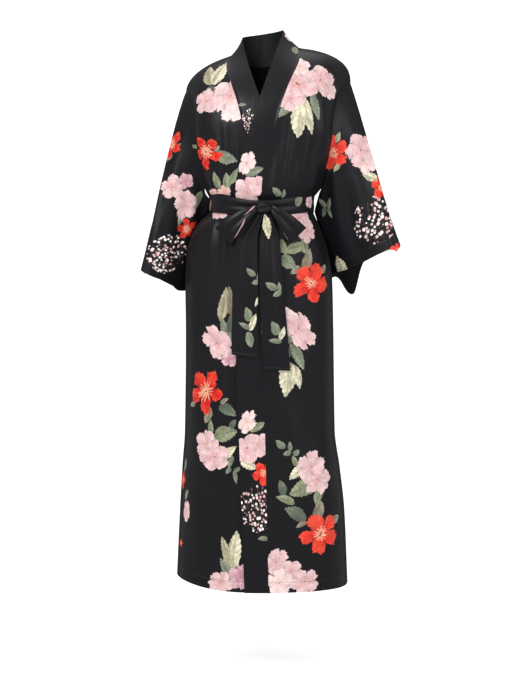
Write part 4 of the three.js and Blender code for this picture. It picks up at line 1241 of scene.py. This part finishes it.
def satin_group():
    """The relief of the cloth: slack waves, a fine weave, and the line of stitches along the hems."""
    tree, g, source, target = new_group(
        "Robe satin relief",
        [("Waves", "NodeSocketFloat")],
        [("Normal", "NodeSocketVector"), ("Stitch", "NodeSocketFloat"), ("Mottle", "NodeSocketFloat")],
    )
    coordinate = g.add("ShaderNodeTexCoord", output="Object")
    tall = g.add("ShaderNodeMapping", {"Vector": coordinate, "Scale": (1.0, 1.0, 0.35)})
    waves = g.noise(tall, 16.0, 3.0)
    weave = g.noise(coordinate, 1400.0, 1.0)
    across, along, _ = g.split(g.add("ShaderNodeAttribute", output="Vector", attribute_name="stitch"))
    off = g.math("ABSOLUTE", across)
    groove = g.ramp(off, 0.0, 0.0022, 1.0, 0.0)
    phase = g.math("FRACT", g.times(along, 330.0))
    dash = g.ramp(g.math("ABSOLUTE", g.minus(phase, 0.5)), 0.3, 0.4, 1.0, 0.0)
    stitch = g.times(g.ramp(off, 0.0004, 0.0009, 1.0, 0.0), dash)
    bump = g.add("ShaderNodeBump", {"Height": waves, "Strength": source["Waves"], "Distance": 0.012})
    bump = g.add("ShaderNodeBump", {"Height": groove, "Strength": 0.3, "Distance": -0.0012, "Normal": bump})
    bump = g.add("ShaderNodeBump", {"Height": weave, "Strength": 0.12, "Distance": 0.0004, "Normal": bump})
    tree.links.new(bump, target["Normal"])
    tree.links.new(stitch, target["Stitch"])
    tree.links.new(g.noise(coordinate, 5.0, 2.0), target["Mottle"])
    return tree


def satin(name, ground, groups, wrong_side=False):
    """Printed satin: a deep ground, the print over it and a soft broad shine."""
    material = bpy.data.materials.new(name)
    material.use_nodes = True
    tree = material.node_tree
    tree.nodes.clear()
    g = Graph(tree)
    relief = tree.nodes.new("ShaderNodeGroup")
    relief.node_tree = groups["relief"]
    relief.inputs["Waves"].default_value = 0.16
    printed = tree.nodes.new("ShaderNodeGroup")
    printed.node_tree = groups["print"]
    printed.inputs["Ground"].default_value = (*ground, 1.0)
    colour = printed.outputs["Colour"]
    if wrong_side:
        colour = g.blend(0.45, colour, (*ground, 1.0))
    colour = g.blend(g.times(relief.outputs["Stitch"], 0.6), colour, (0.03, 0.03, 0.034, 1.0))
    shader = tree.nodes.new("ShaderNodeBsdfPrincipled")
    tree.links.new(colour, shader.inputs["Base Color"])
    tree.links.new(relief.outputs["Normal"], shader.inputs["Normal"])
    rough = g.ramp(relief.outputs["Mottle"], 0.3, 0.7, 0.34, 0.42)
    if wrong_side:
        rough = g.plus(rough, 0.3)
    facing = g.add("ShaderNodeLayerWeight", {"Blend": 0.5}, "Facing")
    rough = g.plus(rough, g.ramp(facing, 0.5, 0.92, 0.0, 0.5))
    tree.links.new(rough, shader.inputs["Roughness"])
    shader.inputs["Specular IOR Level"].default_value = 0.2
    out = tree.nodes.new("ShaderNodeOutputMaterial")
    tree.links.new(shader.outputs[0], out.inputs["Surface"])
    return material


def robe_materials():
    """The satins of the robe, the band and the belt, and the wrong side, made once."""
    if "Printed satin" not in bpy.data.materials:
        settings = bpy.context.scene.robe_settings
        groups = {"print": print_group(), "relief": satin_group()}
        ground = tuple(settings.ground)
        satin("Printed satin", ground, groups)
        satin("Printed satin wrong side", ground, groups, True)
        satin("Band satin", ground, groups)
        satin("Belt satin", ground, groups)
    return bpy.data.materials


# The pieces
def wall(layers):
    """The wall of the cloth or of the doubled cloth in the settings, in millimetres."""
    return getattr(bpy.context.scene.robe_settings, layers) * 1000


def finish(piece, material):
    add_print(piece)
    materials = robe_materials()
    made = piece.build([materials[material], materials["Printed satin wrong side"]], LAYERS)
    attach(made, "root")
    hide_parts(piece.name)


def lines_below(points, inset):
    """For each grid point, its distance above a line of stitches at that inset from the last row,
    and its run along the row, in millimetres."""
    steps = np.linalg.norm(np.diff(points, axis=0), axis=-1)
    rest = np.concatenate([np.cumsum(steps[::-1], 0)[::-1], np.zeros((1, points.shape[1]))])
    runs = np.linalg.norm(np.diff(points, axis=1), axis=-1)
    along = np.concatenate([np.zeros((points.shape[0], 1)), np.cumsum(runs, 1)], 1)
    return np.stack([rest - inset, along], -1)


def band_stations(name, front_downs, nape_steps):
    """Seam, free edge, laid share and way out of a band, from the hem up and round to the back neck."""
    rows = BANDS[name]
    across = seam_across(name, front_downs)
    seam = panel_points(name, across, front_downs)
    z = body(across, front_downs, False)[..., 2]
    edge = np.stack([at(rows, key, z) for key in ("edge_x", "edge_y", "edge_z")], -1)
    laid = at(rows, "laid", z)
    out = outward(across, front_downs, False)
    seam, edge, laid, out = (values[::-1] for values in (seam, edge, laid, out))
    other = BANDS["left" if name == "right" else "right"]
    k = np.arange(1, nape_steps + 1) / nape_steps
    nape_across = mix(NECK[name], 0, k)
    nape_seam = panel_points("back", nape_across, nape_down(nape_across))
    nape_out = outward(nape_across, nape_down(nape_across), True)
    t = k / 2
    nape_edge = np.stack([
        mix(rows["edge_x"][0], other["edge_x"][0], (1 - np.cos(math.pi * t)) / 2),
        mix(rows["edge_y"][0], NAPE["depth"], np.sin(math.pi * t)),
        mix(rows["edge_z"][0], other["edge_z"][0], t) + NAPE["rise"] * np.sin(math.pi * t),
    ], -1)
    seam = np.concatenate([seam, nape_seam])
    edge = np.concatenate([edge, nape_edge])
    laid = np.concatenate([laid, np.zeros(nape_steps)])
    out = np.concatenate([out, nape_out])
    band_out = unit(np.cross(np.gradient(seam, axis=0), edge - seam))
    band_out *= np.where(np.sum(band_out * out, -1) < 0, -1, 1)[:, None]
    shared = unit(out + band_out)
    neck = len(front_downs) - 1
    shared = unit(smooth(shared, 6))
    shared[-1, 0] = 0
    shared[neck, 1] = 0
    return seam, edge, laid, unit(shared), neck


NAPE_STEPS = 36
FRONT_COLUMNS = 100
BACK_SHOULDER_COLUMNS = 44
STATIONS = {name: band_stations(name, DOWNS, NAPE_STEPS) for name in ("left", "right")}


def finish_edges(points, outs, side, column, back):
    """Side and shoulder seams keep half a gap from the middle plane, with their ways out in it."""
    facing = 1 if back else -1
    outs[:ARM_STEPS + 1, column] = armhole_out(side, back, DOWNS[:ARM_STEPS + 1] / 2)
    outs[ARM_STEPS + 1:, column, 1] = 0
    y = points[..., 1] * facing
    points[..., 1] = np.maximum(y, SEAM_HALF) * facing


def front_piece(name):
    """A front: rows from the band's seam to the side, evenly spaced, on the panel's surface."""
    side = SHOULDERS[name]["side"]
    start = seam_across(name, DOWNS)
    share = np.linspace(0, 1, FRONT_COLUMNS + 1)
    across = mix(start[:, None], side, share[None, :])
    points = panel_points(name, across, DOWNS[:, None])
    outs = grid_outs(points, False, points * [1, 1, 0])
    outs[0, :, 1] = 0
    outs[:, 0] = STATIONS[name][3][:len(DOWNS)][::-1]
    finish_edges(points, outs, side, FRONT_COLUMNS, False)
    stitch = lines_below(points, HEM_DEPTH)
    return Piece("front_" + name, points, unit(outs), wall("cloth"), stitch=stitch)


def back_piece():
    """The back: rows from side to side, whose first dips at the nape and whose others even that out by
    the underarm."""
    shoulder = np.linspace(-1, NECK["right"], BACK_SHOULDER_COLUMNS + 1)[:-1]
    nape_right = np.linspace(NECK["right"], 0, NAPE_STEPS + 1)[:-1]
    nape_left = np.linspace(0, NECK["left"], NAPE_STEPS + 1)[:-1]
    last = np.linspace(NECK["left"], 1, BACK_SHOULDER_COLUMNS + 1)
    across = np.concatenate([shoulder, nape_right, nape_left, last])
    top = nape_down(across)
    down = np.where(DOWNS[:, None] > 2, DOWNS[:, None], top + DOWNS[:, None] * (2 - top) / 2)
    points = panel_points("back", np.broadcast_to(across, down.shape), down)
    outs = grid_outs(points, False, points * [1, 1, 0])
    right_outs = STATIONS["right"][3][len(DOWNS) - 1:]
    left_outs = STATIONS["left"][3][len(DOWNS) - 1:]
    neck_outs = np.concatenate([right_outs, left_outs[::-1][1:]])
    first = BACK_SHOULDER_COLUMNS
    column = np.arange(len(across))
    on_shoulder = (column < first) | (column > first + 2 * NAPE_STEPS)
    outs[0, :, 1] = np.where(on_shoulder, 0, outs[0, :, 1])
    outs[0, first:first + 2 * NAPE_STEPS + 1] = neck_outs
    finish_edges(points, outs, -1, 0, True)
    finish_edges(points, outs, 1, len(across) - 1, True)
    return Piece("back_panel", points, unit(outs), wall("cloth"), stitch=lines_below(points, HEM_DEPTH))


def neckband_piece(name):
    """Half of the neckband: straight lines from the seam to the free edge, bent onto the body by the
    share to which the band lies flat, and smoothed at the shoulder."""
    seam, edge, laid, shared, neck = STATIONS[name]
    edge = edge.copy()
    edge[neck - 30:] = smooth(edge, 60)[neck - 30:]
    t = np.linspace(0, 1, 15)[None, :, None]
    free = seam[:, None] + (edge - seam)[:, None] * t
    across, down = place(free[..., 0], free[..., 2])
    flat = body(across, down, False)
    flat += outward(across, down, False) * lap(name, across, down)[..., None]
    share = laid[:, None, None] * np.ones(free.shape)
    points = mix(free, flat, share)
    steps = len(DOWNS)
    points[steps:] = free[steps:]
    points[neck - 30:neck + 12, 1:] = smooth(points, 12)[neck - 30:neck + 12, 1:]
    outs = grid_outs(points, False, points * [1, 1, 0])
    outs[:, 0] = shared
    outs[-1, :, 0] = 0
    return Piece("neckband_" + name, points, unit(outs), wall("doubled"))


SLEEVE_AROUND = 168
SLEEVE_STEPS = np.concatenate([[0, 0.004, 0.01], np.linspace(0.018, 1, 104)])


def clear_of_body(points):
    """Points nearer the body than its rings plus the clearance move straight out to that distance."""
    x, y, z = points[..., 0], points[..., 1], points[..., 2]
    clearance = mix(OVER_SKIRT, OVER_BELT, ease(-324, -336, z) * ease(-430, -395, z))
    wide = np.where(x < 0, at(RINGS, "right", z), at(RINGS, "left", z)) + clearance
    deep = np.where(y < 0, at(RINGS, "front", z), at(RINGS, "back", z)) + clearance
    low, high = np.ones(x.shape), np.full(x.shape, 2.5)
    for _ in range(24):
        middle = (low + high) / 2
        inside = (middle * x / wide) ** 2 + (middle * np.abs(y) / deep) ** (2 / 0.75) < 1
        low, high = np.where(inside, middle, low), np.where(inside, high, middle)
    scale = np.where((z <= UNDERARM_Z) & (low > 1.0005), low, 1)
    return points * np.stack([scale, scale, np.ones(scale.shape)], -1)


def sleeve_piece(name):
    """A sleeve: straight lines from the armhole to the cuff, moved out at the underarm, in at the inner
    side and out at the outer side, with folds along it, and kept clear of the body. The cuff is an
    ellipse turned about z, and its edge lifts and drops by sines and a bell of the angle."""
    side = SHOULDERS[name]["side"]
    cuff = CUFFS[name]
    k = np.arange(SLEEVE_AROUND)
    half = SLEEVE_AROUND // 2
    share = np.where(k <= half, k, SLEEVE_AROUND - k) / half
    is_front = (k <= half)[:, None]
    hole = np.where(is_front, body(side, 2 * share, False), body(side, 2 * share, True))
    hole_out = np.where(is_front, armhole_out(side, False, share), armhole_out(side, True, share))
    angle = 2 * math.pi * k / SLEEVE_AROUND
    turn = math.radians(cuff["turn"])
    long = cuff["long"] * np.cos(angle)
    wide = np.where(np.sin(angle) > 0, cuff["front"], cuff["back"]) * np.sin(angle)
    degrees = np.degrees(angle)
    past = degrees - 180 - cuff["drop_at"]
    spread = np.where(past > 0, DROP_SPREAD["outer"], DROP_SPREAD["inner"])
    back_lift = -cuff["back_lift"] * np.sin(angle) - cuff["drop"] * np.exp(-(past / spread) ** 2)
    lift = np.where(degrees > 180, back_lift, cuff["front_lift"] * np.sin(angle))
    end = np.stack([
        cuff["x"] + side * (long * math.cos(turn) - wide * math.sin(turn)),
        cuff["y"] - long * math.sin(turn) - wide * math.cos(turn),
        cuff["z"] + cuff["outer_lift"] * np.cos(angle) + lift + cuff["end_lift"] * np.cos(2 * angle),
    ], -1)
    s = SLEEVE_STEPS[:, None]
    points = mix(hole[None], end[None], s[..., None])
    under = np.maximum(-np.cos(angle), 0) ** 2
    points[..., 0] += side * UNDERARM_SPREAD * under * (1 - np.exp(-s / 0.015)) * (1 - s) ** 2
    lean = np.sin(math.pi * np.clip((s - INWARD["begin"]) / (INWARD["end"] - INWARD["begin"]), 0, 1))
    near = np.exp(-((degrees - INWARD["angle"]) / INWARD["spread"]) ** 2)
    points[..., 0] -= side * cuff["inward"] * lean * near
    outer = np.exp(-((np.minimum(degrees, 360 - degrees)) / BOW_SPREAD) ** 2)
    points[..., 0] += side * cuff["bow"] * outer * np.sin(math.pi * s ** 0.7)
    middles = points.mean(1, keepdims=True)
    fold = np.zeros(points.shape[:2])
    for where, spread, height, begin, stop in SLEEVE_FOLDS:
        rise = np.sin(math.pi * np.clip((s - begin) / (stop - begin), 0, 1)) ** 0.7
        away = np.abs((degrees - where + 540) % 360 - 180) / spread
        fold += height * rise * np.exp(-away ** 2)
    fold += ease(0.05, 0.3, s) * (0.8 * np.sin(11 * angle + 4 * s) + 0.6 * np.sin(7 * angle - 9 * s + 1))
    moved = points + unit(points - middles) * fold[..., None]
    points = np.concatenate([points[:1], clear_of_body(moved[1:])])
    outs = grid_outs(points, True, points - middles)
    outs[0] = hole_out
    stitch = lines_below(np.concatenate([points, points[:, :1]], 1), HEM_DEPTH)[:, :-1]
    return Piece("sleeve_" + name, points, unit(outs), wall("cloth"), True, stitch)


def waist_piece():
    """The waist band: a ring that stands off the body, narrower and lower at the knot, with two long
    creases that are deeper there."""
    count, rows = 110, 20
    front = np.linspace(-1, 1, count + 1)[:-1]
    across = np.concatenate([front, -front])
    is_front = np.arange(2 * count) < count
    share = np.linspace(0, 1, rows + 1)[:, None]
    to_knot = np.where(is_front, 1 - ease(0.04, 0.75, np.abs(across)), 0)
    top = mix(BELT["side_top"], BELT["knot_top"], to_knot)
    low = mix(BELT["side_low"], BELT["knot_low"], to_knot)
    z = mix(top, low, share)
    down = 2 + UNDERARM_Z - mix(z, BELT_LEVEL, 0.7)
    level = np.where(is_front, BELT["front"], BELT["back"])
    off = mix(level, BELT["side"], ease(0.55, 1, np.abs(across)))
    drift = share + 0.05 * np.sin(5 * across + 2)
    off = off + BELT["crease"] * (0.5 - 0.5 * np.cos(4 * math.pi * drift)) * (0.5 + 0.5 * to_knot)
    wide = np.broadcast_to(across, z.shape)
    point = np.where(is_front[None, :, None], body(wide, down, False), body(wide, down, True))
    out = np.where(is_front[None, :, None], outward(wide, down, False), outward(wide, down, True))
    out[..., 1] = np.where(np.abs(wide) == 1, 0, out[..., 1])
    points = point + unit(out) * off[..., None]
    points[..., 2] = z
    outs = grid_outs(points, True, points * [1, 1, 0])
    return Piece("belt_waist", points, outs, wall("doubled"), True)


def loop_piece(name):
    """A loop of the bow: the strip runs out in front, turns at the end and comes back behind. Its run is
    a cosine of one whole turn, its puff a sine of it, with a sag and two creases in the middle."""
    loop = LOOPS[name]
    depth = float(front_depth(KNOT["x"], KNOT["z"])) + KNOT_PROUD
    turn = np.linspace(0, 2 * math.pi, 81)[:, None]
    t = np.linspace(0, 1, 25)[None, :]
    out = (1 - np.cos(turn)) / 2
    puff = LOOP_PUFF * np.sin(turn) + 3 * np.cos(turn / 2)
    end_x = mix(loop["top"][0], loop["low"][0], t)
    end_z = mix(loop["top"][1], loop["low"][1], t)
    x = mix(loop["root"], end_x, out)
    z = mix(mix(LOOP_ROOT[0], LOOP_ROOT[1], t), end_z, out)
    middle = np.sin(math.pi * out)
    sag = 7 * middle * (1 - t)
    crease = 1.5 * middle * (1 - np.cos(4 * math.pi * t)) * (0.7 + 0.3 * np.sin(turn + 1))
    y = -(mix(depth, LOOP_END_DEPTH, out) + puff + crease)
    points = np.stack([x, y, z + sag], -1)
    outs = grid_outs(points, False, np.stack([0 * x, np.where(turn < math.pi, -1, 1) + 0 * x, 0 * x], -1))
    return Piece("belt_loop_" + name, points, outs, wall("doubled"))


def tail_piece(name):
    """A tail: a strip that hangs before the body, its middle and width by height, with two pleats by a
    cosine across it and a slanting end."""
    rows, slant = TAILS[name]["rows"], TAILS[name]["slant"]
    share = np.linspace(0, 1, 91)[:, None] ** 1.2
    t = np.linspace(-0.5, 0.5, 29)[None, :]
    z = mix(rows["z"][0], rows["z"][-1], share)
    width = at(rows, "width", z)
    x = at(rows, "x", z) + t * width
    height = z + slant * t * width * share
    pleat = 0.5 * at(rows, "pleat", z) * np.cos(4 * math.pi * t)
    y = -(front_depth(x, height) + at(rows, "off", z) + pleat + 0.8 * np.sin(z / 31 + 3 * t))
    points = np.stack([x, y, height], -1)
    outs = grid_outs(points, False, np.array([0.0, -1.0, 0.0]))
    stitch = lines_below(points, TAIL_HEM_DEPTH)
    return Piece("belt_tail_" + name, points, outs, wall("cloth"), stitch=stitch)


def knot_object():
    """The knot: an ellipsoid, squared a little by powers of its sines and cosines, swelled by slanting
    waves and dented in front."""
    y = -(float(front_depth(KNOT["x"], KNOT["z"])) + KNOT_PROUD)
    around, up = 72, 40
    rise = np.linspace(0, math.pi, up + 1)[1:-1, None]
    turn = np.linspace(0, 2 * math.pi, around + 1)[None, :-1]

    def soft(value, power):
        return np.sign(value) * np.abs(value) ** power

    wide = soft(np.sin(rise), 0.85)
    lines = np.sin(6.4 * rise + 2.2 * np.cos(turn) + 0.5)
    dent = np.exp(-((rise - 1.5) / 0.3) ** 2) * np.maximum(-np.sin(turn), 0)
    swell = 1 + 0.085 * lines * np.sin(rise) - 0.1 * dent
    x = KNOT["x"] + KNOT["wide"] * wide * soft(np.cos(turn), 0.92) * swell
    depth = y + KNOT["deep"] * wide * soft(np.sin(turn), 0.92) * swell
    z = KNOT["z"] + KNOT["high"] * soft(np.cos(rise), 0.9) + 0 * turn
    ring = np.stack([x, depth, z], -1).reshape(-1, 3)
    poles = np.array([[KNOT["x"], y, KNOT["z"] + end * KNOT["high"]] for end in (1, -1)])
    corners = np.concatenate([ring, poles]) / 1000
    number = np.arange(len(ring)).reshape(up - 1, around)
    following = np.roll(number, -1, 1)
    quads = np.stack([number[:-1], number[1:], following[1:], following[:-1]], -1).reshape(-1, 4).tolist()
    first, last = len(ring), len(ring) + 1
    caps = [[first, int(a), int(b)] for a, b in zip(number[0], following[0])]
    caps += [[last, int(b), int(a)] for a, b in zip(number[-1], following[-1])]
    mesh = bpy.data.meshes.new("belt_knot")
    mesh.from_pydata(corners, [], quads + caps)
    mesh.shade_smooth()
    far = np.full((len(mesh.loops), 3), FAR)
    for kind, layers in LAYERS.items():
        for k in range(layers):
            spot = mesh.attributes.new(f"{kind}_{k + 1}_spot", "FLOAT_VECTOR", "CORNER")
            spot.data.foreach_set("vector", far.ravel())
    mesh.materials.append(robe_materials()["Belt satin"])
    made = bpy.data.objects.new("belt_knot", mesh)
    bpy.context.scene.collection.objects.link(made)
    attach(made, "root")
    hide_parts("belt_knot")
    return made


# The add-on
class RobeSettings(bpy.types.PropertyGroup):
    """Sizes and colours of the cloth."""

    cloth: bpy.props.FloatProperty(
        name="Cloth", description="Wall of one layer", default=CLOTH_WALL / 1000, unit="LENGTH"
    )
    doubled: bpy.props.FloatProperty(
        name="Doubled", description="Wall of the doubled neckband and belt",
        default=DOUBLED_WALL / 1000, unit="LENGTH",
    )
    ground: bpy.props.FloatVectorProperty(
        name="Ground", description="Colour of the cloth under the print", subtype="COLOR",
        default=(0.0074, 0.0069, 0.0092),
    )


class ROBE_OT_back(bpy.types.Operator):
    """Builds the back panel"""

    bl_idname = "robe.back"
    bl_label = "Back panel"

    def execute(self, context):
        finish(back_piece(), "Printed satin")
        return {"FINISHED"}


class ROBE_OT_fronts(bpy.types.Operator):
    """Builds the over front and the under front"""

    bl_idname = "robe.fronts"
    bl_label = "Fronts"

    def execute(self, context):
        for name, flat in (("left", (0.26, 1.33)), ("right", (0.29, 1.33))):
            finish(front_piece(name), "Printed satin")
        return {"FINISHED"}


class ROBE_OT_neckbands(bpy.types.Operator):
    """Builds the two halves of the neckband"""

    bl_idname = "robe.neckbands"
    bl_label = "Neckband"

    def execute(self, context):
        for name in ("left", "right"):
            finish(neckband_piece(name), "Band satin")
        return {"FINISHED"}


class ROBE_OT_sleeves(bpy.types.Operator):
    """Builds the two sleeves"""

    bl_idname = "robe.sleeves"
    bl_label = "Sleeves"

    def execute(self, context):
        for name in ("left", "right"):
            finish(sleeve_piece(name), "Printed satin")
        return {"FINISHED"}


class ROBE_OT_belt(bpy.types.Operator):
    """Builds the belt with its knot, loops and tails"""

    bl_idname = "robe.belt"
    bl_label = "Belt"

    def execute(self, context):
        knot = knot_object()
        finish(waist_piece(), "Belt satin")
        for name in ("left", "right"):
            finish(loop_piece(name), "Belt satin")
            finish(tail_piece(name), "Belt satin")
        return {"FINISHED"}


class ROBE_OT_stage(bpy.types.Operator):
    """Adds the floor, the lights and the camera"""

    bl_idname = "robe.stage"
    bl_label = "Stage"

    def execute(self, context):
        build_stage(context.scene)
        return {"FINISHED"}


class ROBE_PT_panel(bpy.types.Panel):
    """The robe's settings and steps"""

    bl_label = "Robe"
    bl_idname = "ROBE_PT_panel"
    bl_space_type = "VIEW_3D"
    bl_region_type = "UI"
    bl_category = "Robe"

    def draw(self, context):
        settings = context.scene.robe_settings
        for name in ("cloth", "doubled", "ground"):
            self.layout.prop(settings, name)
        for step in STEPS:
            self.layout.operator(step)


def build_stage(scene):
    """A pale floor that curves up into a backdrop by a quarter circle, soft lights and the camera."""
    bend = quarter(np.linspace(0, 1, 20)[1:])
    starts, radius = BEND["starts"], BEND["radius"]
    level = np.linspace(-FLOOR_REACH, starts, 12)
    depth = np.concatenate([level, starts + radius * np.sin(bend), [WALL["depth"]]])
    rise = np.concatenate([np.zeros(len(level)), radius * (1 - np.cos(bend)), [WALL["height"]]])
    wide = np.array([-FLOOR_REACH, FLOOR_REACH])
    points = np.stack([
        np.tile(wide, len(depth)), np.repeat(depth, 2), np.repeat(rise, 2) + FLOOR_Z,
    ], -1)
    k = np.arange(len(depth) - 1) * 2
    mesh = bpy.data.meshes.new("backdrop")
    mesh.from_pydata(points, [], np.stack([k, k + 1, k + 3, k + 2], -1).tolist())
    mesh.shade_smooth()
    paper = bpy.data.materials.new("Backdrop paper")
    paper.use_nodes = True
    shader = paper.node_tree.nodes["Principled BSDF"]
    shader.inputs["Base Color"].default_value = (0.88, 0.88, 0.88, 1)
    shader.inputs["Roughness"].default_value = 0.9
    shader.inputs["Emission Color"].default_value = (1.0, 1.0, 1.0, 1)
    shader.inputs["Emission Strength"].default_value = 0.36
    mesh.materials.append(paper)
    backdrop = bpy.data.objects.new("backdrop", mesh)
    scene.collection.objects.link(backdrop)
    backdrop.visible_glossy = False

    world = bpy.data.worlds.new("Studio")
    world.use_nodes = True
    background = world.node_tree.nodes["Background"]
    background.inputs["Color"].default_value = (1.0, 1.0, 1.0, 1)
    background.inputs["Strength"].default_value = 0.42
    scene.world = world

    for name, spot, size, power in LIGHTS:
        light = bpy.data.lights.new(name, "AREA")
        light.size = size
        light.energy = power
        lamp = bpy.data.objects.new(name, light)
        lamp.location = spot
        lamp.rotation_euler = look_along(LIGHTS_AIM - np.array(spot))
        scene.collection.objects.link(lamp)

    camera = bpy.data.cameras.new("camera")
    camera.sensor_fit = "VERTICAL"
    camera.sensor_height = SENSOR_HEIGHT
    camera.lens = FOCAL * SENSOR_HEIGHT / FRAME_HEIGHT
    eye = bpy.data.objects.new("camera", camera)
    eye.location = CAMERA_AT
    eye.rotation_euler = look_along(LOOKS_AT - CAMERA_AT)
    scene.collection.objects.link(eye)
    scene.camera = eye
    scene.view_settings.view_transform = "Standard"


def look_along(way):
    """The turn of a camera or lamp that looks along a direction, its top upwards."""
    x, y, z = way
    flat = math.hypot(x, y)
    return (math.pi / 2 + math.atan2(z, flat), 0, math.atan2(y, x) - math.pi / 2)


CLASSES = [
    RobeSettings, ROBE_OT_back, ROBE_OT_fronts, ROBE_OT_neckbands, ROBE_OT_sleeves, ROBE_OT_belt,
    ROBE_OT_stage, ROBE_PT_panel,
]
STEPS = ["robe.back", "robe.fronts", "robe.neckbands", "robe.sleeves", "robe.belt", "robe.stage"]


def register():
    for item in CLASSES:
        bpy.utils.register_class(item)
    bpy.types.Scene.robe_settings = bpy.props.PointerProperty(type=RobeSettings)


def unregister():
    del bpy.types.Scene.robe_settings
    for item in reversed(CLASSES):
        bpy.utils.unregister_class(item)


def main():
    """Builds the robe and its stage step by step."""
    register()
    for step in STEPS:
        area, name = step.split(".")
        getattr(getattr(bpy.ops, area), name)()


if __name__ == "__main__":
    main()
